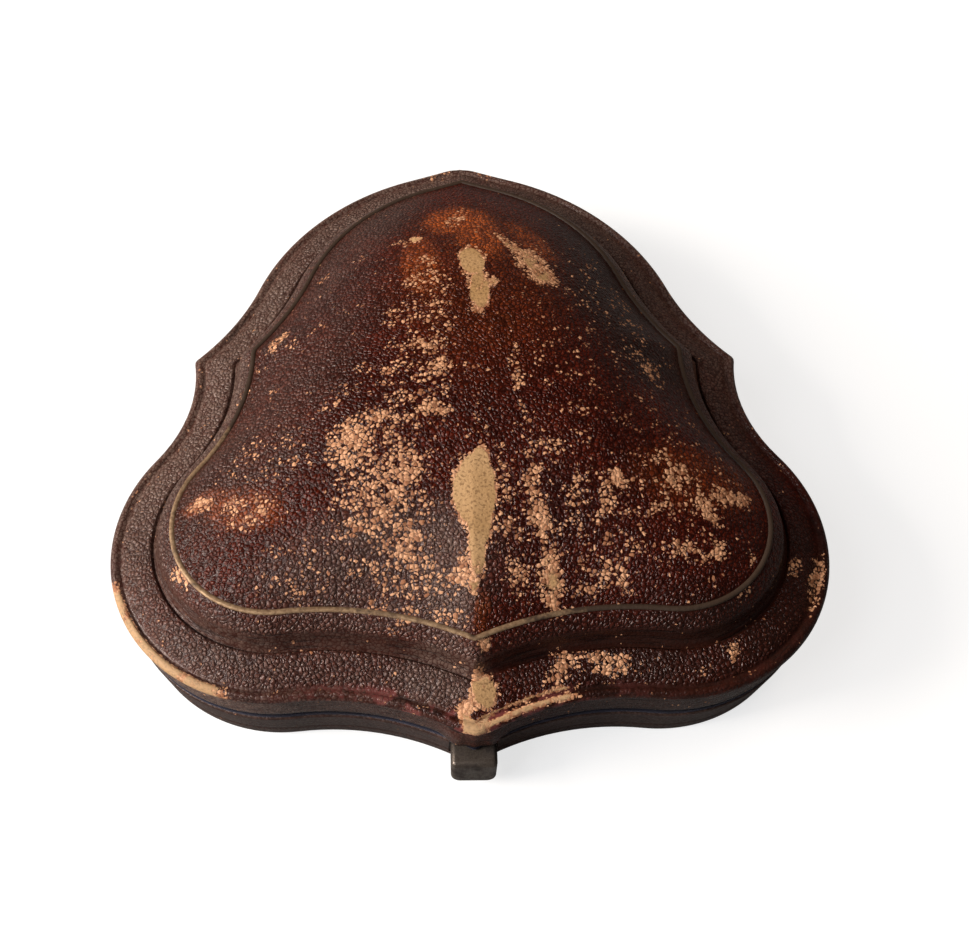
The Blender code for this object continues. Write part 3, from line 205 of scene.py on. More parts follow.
def case_outline(inset):
    """The lobed outline of the case, drawn in by the inset, as points from the front point round to the
    right. Each arc keeps its centre, so outlines at different insets line up point by point."""
    front = np.array([0.0, front_share * half_width])
    back = np.array([0.0, back_share * half_width])
    side = np.array(side_shares) * half_width
    low_r = lower_radius_share * half_width
    low = np.array([half_width - low_r, lower_y_share * half_width])
    up_r = upper_radius_share * half_width
    up = np.array(upper_shares) * half_width
    r1, r2, r3, r4 = (share * half_width for share in hollow_shares)
    k1 = right_of(front, r1, low, low_r + r1)
    k2 = right_of(low, low_r + r2, side, r2)
    k3 = right_of(side, r3, up, up_r + r3)
    k4 = right_of(up, up_r + r4, back, r4)
    front_tip = np.array([0.0, k1[1] + math.sqrt((r1 + inset) ** 2 - k1[0] ** 2)])
    back_tip = np.array([0.0, k4[1] - math.sqrt((r4 + inset) ** 2 - k4[0] ** 2)])
    side_tip = right_of(k3, r3 + inset, k2, r2 + inset)

    def touch(hollow, lobe, radius):
        line = hollow - lobe
        return lobe + line / np.hypot(*line) * (radius - inset)

    t1, t2 = touch(k1, low, low_r), touch(k2, low, low_r)
    t3, t4 = touch(k3, up, up_r), touch(k4, up, up_r)
    n = arc_steps
    half = np.concatenate(
        [
            swept(k1, r1 + inset, front_tip, t1, n[0], False, 1),
            swept(low, low_r - inset, t1, t2, n[1], True),
            swept(k2, r2 + inset, t2, side_tip, n[2], False, -1),
            swept(k3, r3 + inset, side_tip, t3, n[3], False, 1),
            swept(up, up_r - inset, t3, t4, n[4], True),
            swept(k4, r4 + inset, t4, back_tip, n[5], False, -1),
            back_tip[None],
        ]
    )
    other = half[1:-1][::-1] * np.array([-1.0, 1.0])
    whole = np.concatenate([half, other])
    blunt = whole.copy()
    tips = (0, n[0] + n[1] + n[2], len(half) - 1, len(whole) - (n[0] + n[1] + n[2]))
    for tip in tips:
        before, after = whole[tip - 1], whole[(tip + 1) % len(whole)]
        blunt[tip] = whole[tip] * 0.5 + (before + after) * 0.25
    return blunt - np.array([0.0, middle_y])


def ring_at(inset, height):
    flat = case_outline(inset)
    return np.column_stack([flat, np.full(len(flat), height)])


def lofted(rings, low_tip=None, high_tip=None, closed=False):
    """A mesh through rings of equal length, from the underside up. Its ends close in a point, in a flat
    face, or on each other."""
    count = len(rings[0])
    points = np.concatenate(rings)
    faces = []
    pairs = [(i, i + 1) for i in range(len(rings) - 1)]
    if closed:
        pairs.append((len(rings) - 1, 0))
    for low, high in pairs:
        for i in range(count):
            j = (i + 1) % count
            faces.append((low * count + i, low * count + j, high * count + j, high * count + i))
    if not closed:
        for row, tip, turn in ((0, low_tip, -1), (len(rings) - 1, high_tip, 1)):
            edge = list(range(row * count, row * count + count))
            if tip is None:
                faces.append(tuple(edge[::turn]))
                continue
            points = np.vstack([points, tip])
            for i in range(count):
                faces.append((*(edge[i], edge[(i + 1) % count])[::turn], len(points) - 1))
    return mesh_of(points, faces)


def mesh_of(points, faces):
    mesh = bpy.data.meshes.new("shape")
    mesh.from_pydata([tuple(p) for p in points], [], faces)
    mesh.update()
    return mesh


def placed(name, data):
    """A new object in the scene."""
    data.name = name
    obj = bpy.data.objects.new(name, data)
    bpy.context.scene.collection.objects.link(obj)
    return obj


def cover(obj, material, sharp=60.0):
    """One material over a whole piece, shaded smooth up to an angle in degrees."""
    mesh = obj.data
    mesh.materials.clear()
    mesh.materials.append(material)
    mesh.shade_smooth()
    mesh.set_sharp_from_angle(angle=math.radians(sharp))


def worked(obj, kind, **settings):
    """A modifier worked into the piece's mesh."""
    modifier = obj.modifiers.new(kind, kind)
    for key, value in settings.items():
        setattr(modifier, key, value)
    bpy.context.view_layer.update()
    evaluated = obj.evaluated_get(bpy.context.evaluated_depsgraph_get())
    mesh = bpy.data.meshes.new_from_object(evaluated)
    obj.modifiers.clear()
    obj.data = mesh


def block(bounds):
    """A closed box between (x0, x1, y0, y1, z0, z1), used to cut rebates in thin pieces."""
    points = [(x, y, z) for x in bounds[:2] for y in bounds[2:4] for z in bounds[4:]]
    faces = [(0, 1, 3, 2), (4, 6, 7, 5), (0, 4, 5, 1), (2, 3, 7, 6), (0, 2, 6, 4), (1, 5, 7, 3)]
    return mesh_of(points, faces)


def cut_away(obj, shapes):
    for shape in shapes:
        tool = placed("tool", shape)
        worked(obj, "BOOLEAN", object=tool, operation="DIFFERENCE", solver="MANIFOLD")
        bpy.data.objects.remove(tool, do_unlink=True)


def mark(mesh, **marks):
    """Numbers kept on the mesh's points, which its material reads by name."""
    for key, values in marks.items():
        layer = mesh.attributes.new(key, "FLOAT", "POINT")
        layer.data.foreach_set("value", np.asarray(values, np.float32))


def vertex_places(mesh):
    flat = np.empty(len(mesh.vertices) * 3)
    mesh.vertices.foreach_get("co", flat)
    return flat.reshape(-1, 3)


def new_group(name, inputs, outputs, kind="ShaderNodeTree"):
    """A node group with sockets given as name, kind and start value: its steps, what comes in and the
    sockets that its results go to."""
    tree = bpy.data.node_groups.new(name, kind)
    for way, sockets in (("INPUT", inputs), ("OUTPUT", outputs)):
        for key, value_kind, *start in sockets:
            made = tree.interface.new_socket(key, in_out=way, socket_type="NodeSocket" + value_kind)
            if start:
                made.default_value = start[0]
    steps = Steps(tree)
    given = steps.add("NodeGroupInput").outputs
    steps.place = given.get("Place")
    return steps, given, steps.add("NodeGroupOutput").inputs


def grain_group():
    """Pebbled goatskin: how high each spot stands, a number and a tone of its own for each pebble, and the
    creases between the pebbles."""
    outputs = [(key, "Float") for key in ("Height", "Own", "Crease", "Tone")]
    inputs = [("Place", "Vector"), ("Pebbles", "Float", 1230.0)]
    steps, given, results = new_group("goatskin_grain", inputs, outputs)
    waves = {"Vector": steps.place, "Scale": 900.0, "Detail": 2.0, "Roughness": 0.6}
    drift = steps.add("ShaderNodeTexNoise", waves).outputs["Color"]
    centre, small = {1: (0.5, 0.5, 0.5)}, {"Scale": 0.0006}
    for operation, change in (("SUBTRACT", centre), ("SCALE", small), ("ADD", {1: steps.place})):
        drift = steps.add("ShaderNodeVectorMath", {0: drift, **change}, operation=operation).outputs[0]
    where = {"Vector": drift, "Scale": given["Pebbles"]}
    cells = steps.add("ShaderNodeTexVoronoi", where, feature="F1").outputs
    edge = steps.add("ShaderNodeTexVoronoi", where, feature="DISTANCE_TO_EDGE").outputs["Distance"]
    flat_top = steps.times(steps.ramp(edge, 0.0, 0.3), 0.45)
    height = steps.times_plus(steps.ramp(cells["Distance"], 0.75, 0.05), 0.55, flat_top)
    steps.feed(results["Height"], steps.times_plus(steps.noise(3600.0, 2.0), 0.18, height))
    own = steps.add("ShaderNodeSeparateColor", {0: cells["Color"]}).outputs
    steps.feed(results["Own"], own[0])
    steps.feed(results["Tone"], own[1])
    steps.feed(results["Crease"], steps.ramp(edge, 0.16, 0.02))
    return steps.tree


def rub_group():
    """Where the dyed grain has flaked off. Rub says how hard a place was handled: high spots and single
    pebbles go first, and past that the skin is bare."""
    inputs = [("Place", "Vector")] + [(key, "Float") for key in ("Rub", "Height", "Own", "Crease")]
    steps, given, results = new_group("rubbed_through", inputs, [("Flaked", "Float"), ("Bare", "Float")])
    rub = given["Rub"]
    chips = steps.ramp(steps.noise(380.0, 3.0, 0.62), 0.3, 0.7)
    crumbs = steps.ramp(steps.noise(1900.0, 3.0, 0.6), 0.3, 0.7)
    chance = steps.times_plus(given["Own"], 0.34, steps.times(chips, 0.34))
    chance = steps.times_plus(crumbs, 0.32, chance)
    over = steps.less(steps.maths("ADD", chance, rub), 1.12)
    over = steps.times_plus(steps.less(given["Height"], 0.75), 0.34, over)
    kept = steps.times(given["Crease"], steps.ramp(rub, 0.6, 0.95, 0.8, 0.25))
    steps.feed(results["Flaked"], steps.times(steps.ramp(over, 0.0, 0.07), steps.less(1.0, kept)))
    ragged = steps.less(steps.noise(300.0, 6.0, 0.72), 0.5)
    steps.feed(results["Bare"], steps.ramp(steps.times_plus(ragged, 0.8, rub), 0.93, 1.03))
    return steps.tree


grain = grain_group()
rubbed = rub_group()
pebbles_per_metre = 1380.0


def goatskin(name, dark, red, roughness, grain_depth=0.0002):
    """Old dyed goatskin. The mesh says where it was rubbed, stained, gone to red rot, tooled smooth, hazy
    with dust and a painted sheen or darkened by painted shade, and a mark that it lacks counts as none."""
    skin = Finish(name, roughness)
    rub, stain, rot, tooled, dusty, grime = (
        skin.add("ShaderNodeAttribute", attribute_name=key).outputs["Fac"]
        for key in ("rub", "stain", "rot", "tooled", "dusty", "grime")
    )
    inputs = {"Place": skin.place, "Pebbles": pebbles_per_metre}
    pebbled = skin.add("ShaderNodeGroup", inputs, node_tree=grain).outputs
    height, own, crease, tone = (pebbled[key] for key in ("Height", "Own", "Crease", "Tone"))
    inputs = {"Place": skin.place, "Rub": rub, "Height": height, "Own": own, "Crease": crease}
    wear = skin.add("ShaderNodeGroup", inputs, node_tree=rubbed).outputs
    flaked, bare = wear["Flaked"], wear["Bare"]
    clouds, fine = skin.noise(55.0, 3.0, 0.6), skin.noise(2600.0, 3.0, 0.6)

    # Painted shade darkens the dye between the pebbles, some pebbles are darker by chance, and the dye is a
    # little polished on top of them.
    dye = skin.blend(skin.ramp(clouds, 0.36, 0.64), dark, red)
    crease_shade_and_dark_dye = tuple(part * 0.26 for part in dark)
    deep = skin.times(crease, skin.less(1.0, tooled))
    dye = skin.blend(skin.times(deep, 0.85), dye, crease_shade_and_dark_dye)
    dye = skin.blend(skin.ramp(own, 0.0, 0.5, 0.6, 0.0), dye, crease_shade_and_dark_dye)
    polished = skin.times(skin.ramp(height, 0.7, 1.1), skin.ramp(own, 0.5, 1.0, 0.05, 0.45))
    dye = skin.blend(polished, dye, (0.13, 0.04, 0.022))

    # The hot tool left it darker, with fine black lines drawn along it.
    dye = skin.blend(skin.times(tooled, 0.7), dye, (0.020, 0.0040, 0.0022))
    lines = skin.noise(2600.0, 3.0, 0.6, skin.drawn_out(0.05, 0.05, 1.0))
    lined = skin.times(tooled, skin.ramp(lines, 0.5, 0.68, 0.0, 0.8))
    dye = skin.blend(lined, dye, (0.006, 0.0035, 0.004))

    # Stains glow orange, red rot turns it dull red, and painted shade and dust with a painted sheen lie over
    # everything.
    broken = skin.times(skin.ramp(tone, 0.1, 0.9, 0.45, 1.25), skin.times_plus(crease, -0.8, 1.0))
    dye = skin.blend(skin.times(stain, broken, clamp=True), dye, (0.45, 0.095, 0.018))
    rusty = skin.times(rot, skin.ramp(skin.noise(420.0, 3.0), 0.47, 0.6))
    dye = skin.blend(rusty, dye, (0.150, 0.036, 0.032))
    dye = skin.blend(grime, dye, (0.013, 0.0058, 0.0036))
    drifts = skin.ramp(skin.noise(700.0, 3.0), 0.3, 0.7, 0.55, 1.0)
    dust_and_sheen_amount = skin.times(dusty, skin.times(drifts, skin.times_plus(crease, -0.9, 1.1)))
    dust_and_sheen_amount = skin.times(dust_and_sheen_amount, skin.times_plus(lined, -0.5, 1.0))
    dye = skin.blend(dust_and_sheen_amount, dye, (0.166, 0.107, 0.085))

    # Flakes show the rough tan skin under the grain, and hard wear shows the smooth pale hide.
    under = skin.blend(skin.ramp(fine, 0.3, 0.7), (0.46, 0.20, 0.09), (0.84, 0.46, 0.265))
    under = skin.blend(skin.ramp(tone, 0.4, 1.0, 0.0, 0.85), under, (0.27, 0.095, 0.04))
    pores = skin.ramp(skin.noise(2400.0, 2.0), 0.5, 0.64)
    hide = skin.blend(skin.ramp(clouds, 0.3, 0.7), (0.42, 0.235, 0.095), (0.54, 0.325, 0.155))
    hide = skin.blend(skin.times(pores, 0.75), hide, (0.22, 0.120, 0.050))
    hide = skin.blend(skin.times(tooled, 0.5), hide, (0.52, 0.34, 0.21))
    worn = skin.maths("MAXIMUM", flaked, bare)
    gloss = skin.ramp(fine, 0.25, 0.75, roughness - 0.08, roughness + 0.12)
    skin.give(
        {
            "Base Color": skin.blend(bare, skin.blend(flaked, dye, under), hide),
            "Roughness": skin.maths("MINIMUM", skin.times_plus(worn, 0.32, gloss), 0.9),
            "Specular IOR Level": 0.33,
            "Specular Tint": (1.0, 0.88, 0.86, 1.0),
        }
    )

    # Tooling and wear flatten the grain.
    flat = skin.less(1.0, skin.times(tooled, 0.86))
    for worn_flat, share in ((bare, 0.75), (flaked, 0.35)):
        flat = skin.times(flat, skin.less(1.0, skin.times(worn_flat, share)))
    relief = skin.times(skin.times_plus(skin.noise(2100.0, 3.0, 0.6), 0.7, height), flat)
    for part, share in ((worn, 0.1), (bare, 0.4), (lined, -0.5), (skin.noise(130.0, 2.0), 0.9)):
        relief = skin.times_plus(part, share, relief)
    skin.relief(relief, grain_depth)
    return skin.made


def steady_noise(places, scale, seed):
    """Smooth variation from a few crossing waves, the same on every run."""
    draw = np.random.default_rng(seed)
    total = np.zeros(len(places))
    for _ in range(9):
        way = draw.normal(size=3)
        way /= np.linalg.norm(way)
        total += np.sin(places @ way * scale * draw.uniform(0.6, 1.7) + draw.uniform(0.0, 6.28))
    return total / 4.0


base_taper = 0.0012
fold = 0.0006
skin_thickness = 0.0008
turned_in = 0.00352


def base_wall_inset(z):
    return base_taper * (1.0 - z / rim_base)


def base_leather_profile():
    low = 0.00037
    rise = [low + (rim_base - low) * i / 16.0 for i in range(1, 16)]
    line = rim_base * 0.4
    points = [
        (turned_in, rim_base),
        (turned_in, rim_base - fold),
        (skin_thickness, rim_base - fold),
        (skin_thickness + base_wall_inset(low), low + fold),
        (turned_in + base_taper, low + fold),
        (turned_in + base_taper, low),
        (0.0007 + base_wall_inset(low), low),
        (0.0003 + base_wall_inset(low), low + 0.00007),
        (0.00006 + base_wall_inset(low), low + 0.0003),
    ]
    for z in rise:
        groove = 0.00022 * math.exp(-(((z - line) / 0.00028) ** 2))
        points.append((base_wall_inset(z) + groove, z))
    points += [(0.00005, rim_base - 0.0003), (0.0002, rim_base - 0.00008), (0.0004, rim_base)]
    return points


base_rings = [ring_at(i, z) for i, z in base_leather_profile()]
base_skin = placed("base_leather_skin", lofted(base_rings, closed=True))
button_pocket = (-0.004, 0.004, -0.068, -0.0576, 0.0023, 0.0105)
hinge_rebate = (-0.0063, 0.0063, 0.0538, 0.0668, 0.00914, 0.01236)
catch_rebate = (-0.0067, 0.0067, -0.0564, -0.043, 0.00914, 0.01236)
cut_away(base_skin, map(block, (button_pocket, hinge_rebate, catch_rebate)))
places = vertex_places(base_skin.data)
# The whole wall is evenly hazy with dust and a painted sheen.
mark(
    base_skin.data,
    rub=np.clip(0.12 + 0.08 * steady_noise(places, 90.0, 3), 0.0, 0.4),
    rot=np.clip(0.25 * steady_noise(places, 60.0, 5), 0.0, 0.6),
    tooled=np.full(len(places), 0.7),
    dusty=np.full(len(places), 0.25),
)
base_hide = goatskin("base_goatskin", (0.034, 0.022, 0.019), (0.042, 0.022, 0.017), 0.42, 0.00012)
cover(base_skin, base_hide, 48.0)
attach(base_skin, "base")
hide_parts("base_leather")


# Velvet of the base
# Navy silk velvet is glued over the rim of the tray and down its wall. It stands up as a soft collar
# inside the lid, and its edge shows as the dark line all round the closed case.

cavity_inset = 0.00402
lining_inset = 0.00432
velvet_depth = 0.0011
hinge_face_y = back_share * half_width - 0.0074 - middle_y
block_back_y = -0.049218
tray_floor = 0.00297


def velvet(name, deep, lit):
    pile = Finish(name, 0.92)
    lie, tufts = pile.noise(75.0, 3.0, 0.6), pile.noise(2600.0, 3.0, 0.7)
    brushed = pile.blend(pile.ramp(lie, 0.4, 0.62), deep, lit)
    pile.give(
        {
            "Base Color": pile.blend(pile.ramp(tufts, 0.35, 0.75, 0.0, 0.5), brushed, deep),
            "Sheen Weight": 0.35,
            "Sheen Roughness": 0.42,
            "Sheen Tint": (0.25, 0.24, 0.31, 1.0),
            "Specular IOR Level": 0.15,
        }
    )
    pile.relief(pile.times_plus(lie, 1.4, tufts), 0.00012)
    return pile.made


navy_velvet = velvet("navy_velvet", (0.0038, 0.0037, 0.0080), (0.0095, 0.0102, 0.0220))


def clamped_ring(inset, height, back=False, front=False):
    """A ring that stops at the hinge block or the catch block of the tray."""
    ring = ring_at(inset, height)
    deeper = inset - cavity_inset
    if back:
        ring[:, 1] = np.minimum(ring[:, 1], hinge_face_y - deeper)
    if front:
        ring[:, 1] = np.maximum(ring[:, 1], block_back_y + deeper)
    return ring


def velvet_profile():
    low = rim_base + 0.00014
    top = rim_lid - 0.0003
    collar = top + 0.0022
    inner = lining_inset + velvet_depth
    middle = (low + top) / 2.0
    half = (top - low) / 2.0
    lip = []
    for angle in (80.0, 60.0, 38.0, 18.0, 0.0):
        turn = math.radians(angle)
        lip.append((0.00087 - 0.00065 * math.cos(turn) ** 0.7, middle + half * math.sin(turn)))
    lip += [(0.00022, low + 0.0004), (0.00024, low + 0.00015), (0.00036, low + 0.00002)]
    points = [
        (lining_inset, low),
        (lining_inset, tray_floor + 0.0003),
        (inner, tray_floor + 0.0003),
        (inner, rim_base),
        (inner + 0.00005, collar - 0.0006),
        (inner - 0.0002, collar - 0.0002),
        (inner - 0.00055, collar),
        (lining_inset + 0.0003, collar - 0.00012),
        (lining_inset + 0.00003, collar - 0.0005),
        (lining_inset, top + 0.0004),
        (lining_inset - 0.0003, top),
    ]
    return points + lip


def face_out(mesh):
    bm = bmesh.new()
    bm.from_mesh(mesh)
    bmesh.ops.recalc_face_normals(bm, faces=bm.faces)
    bm.to_mesh(mesh)
    bm.free()


velvet_rings = [clamped_ring(i, z, back=i > cavity_inset) for i, z in velvet_profile()]
lining = placed("velvet_collar", lofted(velvet_rings, closed=True))
face_out(lining.data)
catch_clear = (-0.007, 0.007, -0.0564, block_back_y + 0.0003, -0.005, 0.02)
# The notch reaches further back than the leather's pocket, so that the button can be pushed in.
button_clear = (-0.004, 0.004, -0.068, -0.0562, 0.0023, 0.0105)
cut_away(lining, map(block, (catch_clear, button_clear, hinge_rebate)))
cover(lining, navy_velvet)
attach(lining, "base")
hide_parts("velvet_lining")


# Jewel pad
# A card shaped to the tray carries cotton wadding under the same navy velvet, with a sunk well for a
# brooch and one for each earring. The velvet is drawn tight at the sides, so the pad swells between them.

pad_inset = 0.00572
pad_low, pad_high = 0.00421, 0.0102
pad_crown, pad_shoulder = 0.0009, 0.0016
dome_middle_y = 0.16 * half_width - middle_y
# Each well's middle, half width and half depth, as shares of half the case's width.
wells = [
    (x * half_width, y * half_width - middle_y, wide * half_width, deep * half_width)
    for x, y, wide, deep in ((0.0, 0.42, 0.27, 0.2), (-0.46, -0.2, 0.135, 0.135), (0.46, -0.2, 0.135, 0.135))
]
# A well's wall from its floor up to its rolled lip: how far below the pad's top, and how much wider.
well_wall = (
    (-0.0045, -0.0016), (-0.0043, -0.0006), (-0.0037, 0.0), (-0.0009, 0.00005),
    (-0.0004, 0.00025), (0.0, 0.0008), (0.0006, 0.0018),
)
voxel = 0.00105


def round_ring(across, deep, z, count, x=0.0, y=0.0):
    turns = np.linspace(0.0, 2.0 * math.pi, count, endpoint=False)
    return np.column_stack([x + across * np.cos(turns), y + deep * np.sin(turns), np.full(count, z)])


def oval_well(x, y, wide, deep):
    """A tool for an oval well with a rolled lip and a dished floor."""
    top = pad_high + pad_crown / 2.0
    return lofted([round_ring(wide + grow, deep + grow, top + drop, 64, x, y) for drop, grow in well_wall])


def swollen(obj, held, pressure, most, growth=0.0):
    """Cloth run on a piece: it swells between the points that are held, no further than the cap."""
    start = vertex_places(obj.data).copy()
    frames = 20
    group = obj.vertex_groups.new(name="held")
    group.add([int(i) for i in np.nonzero(held)[0]], 1.0, "REPLACE")
    cloth = obj.modifiers.new("cloth", "CLOTH")
    wanted = {"quality": 4, "mass": 0.05, "bending_stiffness": 0.2, "vertex_group_mass": "held"}
    wanted |= {"tension_stiffness": 8.0, "compression_stiffness": 8.0}
    wanted |= {"shrink_min": -growth, "shrink_max": -growth}
    wanted |= {"use_pressure": True, "uniform_pressure_force": pressure}
    for key, value in wanted.items():
        setattr(cloth.settings, key, value)
    cloth.settings.effector_weights.gravity = 0.0
    cloth.collision_settings.use_collision = False
    cloth.point_cache.frame_end = frames
    for number in range(1, frames + 1):
        bpy.context.scene.frame_set(number)
    evaluated = obj.evaluated_get(bpy.context.evaluated_depsgraph_get())
    move = np.nan_to_num(vertex_places(evaluated.data) - start)
    obj.modifiers.clear()
    bpy.context.scene.frame_set(1)
    far = np.linalg.norm(move, axis=1)[:, None]
    move *= np.minimum(1.0, most / np.maximum(far, 1e-9))
    obj.data.vertices.foreach_set("co", (start + move).ravel())
    obj.vertex_groups.clear()
    obj.data.update()


def pad_rings():
    """The pad's side and shoulder, its crowned top, and the top's middle point."""
    edge_steps = (
        (0.0006, pad_low),
        (0.0002, pad_low + 0.0004),
        (0.0001, pad_high - pad_shoulder),
        (pad_shoulder * 0.18, pad_high - pad_shoulder * 0.45),
        (pad_shoulder * 0.5, pad_high - pad_shoulder * 0.12),
        (pad_shoulder, pad_high),
    )
    rings = [clamped_ring(pad_inset + more, z, back=True, front=True) for more, z in edge_steps]
    edge = rings.pop()
    top = np.array([0.0, dome_middle_y, pad_high])
    for share in (0.0, 0.06, 0.14, 0.26, 0.42, 0.62, 0.84):
        ring = edge + (top - edge) * share
        ring[:, 2] = pad_high + pad_crown * math.sqrt(1.0 - (1.0 - share) ** 2)
        rings.append(ring)
    return rings, top + np.array([0.0, 0.0, pad_crown])


rings, peak = pad_rings()
pad = placed("velvet_pad", lofted(rings, None, peak))
cut_away(pad, [oval_well(*well) for well in wells])
worked(pad, "REMESH", mode="VOXEL", voxel_size=voxel)
worked(pad, "SMOOTH", factor=0.5, iterations=4)
places = vertex_places(pad.data)
held = places[:, 2] < pad_low + 0.0018
for x, y, wide, deep in wells:
    away = np.hypot((places[:, 0] - x) / wide, (places[:, 1] - y) / deep)
    held |= (away < 1.03) & (places[:, 2] < pad_high - 0.0008)
swollen(pad, held, 2.5, 0.0006)
worked(pad, "SMOOTH", factor=0.5, iterations=2)
worked(pad, "SUBSURF", levels=1, render_levels=1)
cover(pad, navy_velvet, 180.0)
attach(pad, "base")
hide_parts("jewel_pad")


# Leather of the lid
# One damp skin is moulded over the carved lid and tooled while it dries: the bead at the edge, the
# grained band, the smooth cove, the step under the gilt line and the ridge that runs up the dome. A
# hundred years of handling has rubbed the dye off the high grain.

bead_height = 0.019
bead_radius = 0.001
band_width, band_rise = 0.0062, 0.0028
cove_width, cove_rise = 0.0017, 0.0033
step_width, step_rise = 0.0024, 0.0023
gilt_width = 0.0007
dome_rise, dome_fullness = 0.0126, 2.6
band_height = bead_height + band_rise
cove_height = band_height + cove_rise
step_height = cove_height + step_rise
cove_inset = band_width + cove_width
step_inset = cove_inset + step_width
dome_inset = step_inset + gilt_width


def ease(share):
    share = np.clip(share, 0.0, 1.0)
    return share * share * (3.0 - 2.0 * share)


def lengths_round(ring):
    gaps = np.linalg.norm(np.roll(ring, -1, axis=0) - ring, axis=1)
    return np.concatenate([[0.0], np.cumsum(gaps)])


def rounded_off(ring, reach=0.0155):
    """The same ring with its points smoothed away over a length along the edge."""
    along = lengths_round(ring)
    total = along[-1]
    count = 720
    even = np.arange(count) / count * total
    looped = np.vstack([ring, ring[:1]])
    step = total / count
    span = np.arange(-int(3 * reach / step), int(3 * reach / step) + 1)
    weight = np.exp(-0.5 * (span * step / reach) ** 2)
    weight /= weight.sum()
    made = []
    for axis in range(2):
        line = np.interp(even, along, looped[:, axis])
        wide = np.concatenate([line[span[0] :], line, line[: span[-1]]])
        smooth = np.convolve(wide, weight, mode="valid")
        made.append(np.interp(along[:-1], np.append(even, total), np.append(smooth, smooth[0])))
    return np.stack(made, axis=1)


def dome(inset, foot, rise, shares):
    """Rings that climb and draw in to the crown. The ridge from the front point softens slowly, and the
    side and back points are soon lost."""
    outline = case_outline(inset)
    soft = rounded_off(outline)
    along = lengths_round(outline)
    total = along[-1]
    from_front = np.minimum(along[:-1], total - along[:-1])
    near_front = ease(1.0 - from_front / 0.038)
    top = np.array([0.0, dome_middle_y])
    rings = []
    for share in shares:
        side_keep = 1.0 - ease(share / 0.4)
        front_keep = 1.0 - 0.45 * ease(share / 0.95)
        keep = (side_keep + (front_keep - side_keep) * near_front)[:, None]
        flat = soft + (outline - soft) * keep
        flat = flat + (top - flat) * share
        height = foot + rise * (1.0 - (1.0 - share) ** dome_fullness)
        rings.append(np.column_stack([flat, np.full(len(flat), height)]))
    return rings, np.array([top[0], top[1], foot + rise])


def lid_profile():
    """The outside of the lid's edge from the turned in leather up to the gilt line: each point's inset and
    height, and 1 where the tool left it smooth."""
    low = rim_lid
    points = [
        (turned_in, low, 1.0),
        (0.0006, low, 1.0),
        (0.00022, low + 0.00006, 1.0),
        (0.00003, low + 0.0003, 1.0),
    ]
    for i in range(1, 8):
        points.append((0.0, low + 0.0003 + (bead_height - bead_radius - 0.0003 - low) * i / 8.0, 0.95))
    points.append((0.0001, bead_height - bead_radius - 0.00022, 1.0))
    points.append((0.00028, bead_height - bead_radius - 0.00003, 1.0))
    for angle in range(-72, 100, 17):
        turn = math.radians(angle)
        points.append((-bead_radius * math.cos(turn), bead_height + bead_radius * math.sin(turn), 0.75))
    points.append((bead_radius * 0.62, bead_height + bead_radius * 0.62, 1.0))
    points.append((bead_radius * 0.95, bead_height + bead_radius * 0.66, 0.9))
    points.append((bead_radius * 1.3, bead_height + bead_radius * 0.98, 0.2))
    start = (bead_radius * 1.3, bead_height + bead_radius * 0.98)
    for i in range(1, 9):
        share = i / 9.0
        swell = 0.00022 * math.sin(math.pi * share)
        inset = start[0] + (band_width - start[0]) * share
        height = start[1] + (band_height - start[1]) * share + swell
        points.append((inset, height, 0.0))
    points += [
        (band_width - 0.00012, band_height + 0.00002, 0.2),
        (band_width + 0.0001, band_height - 0.0001, 0.9),
        (band_width + 0.00028, band_height - 0.00035, 1.0),
    ]
    for wide, high in ((0.35, 0.0), (0.55, 0.16), (0.72, 0.36), (0.84, 0.58), (0.92, 0.78), (0.97, 0.91)):
        points.append((band_width + cove_width * wide, band_height - 0.0001 + cove_rise * high, 1.0))
    points.append((cove_inset + 0.0001, cove_height - 0.0001, 0.6))
    points.append((cove_inset + 0.0003, cove_height + 0.00003, 0.1))
    for i in range(1, 5):
        share = i / 5.0
        points.append((cove_inset + step_width * share, cove_height + (step_rise - 0.0002) * share, 0.0))
    points += [
        (step_inset - 0.00015, step_height - 0.00025, 0.6),
        (step_inset + 0.00005, step_height - 0.00022, 1.0),
        (step_inset + 0.00055, step_height + 0.00002, 1.0),
        (step_inset + 0.00075, step_height + 0.0001, 0.5),
    ]
    return points


def lid_inside():
    return [
        (turned_in, rim_lid + fold),
        (skin_thickness, rim_lid + fold),
        (skin_thickness, bead_height),
        (bead_radius + skin_thickness, bead_height + bead_radius - skin_thickness),
        (band_width + skin_thickness / 2.0, band_height - skin_thickness - 0.00035),
        (cove_inset + skin_thickness, cove_height - skin_thickness),
    ]


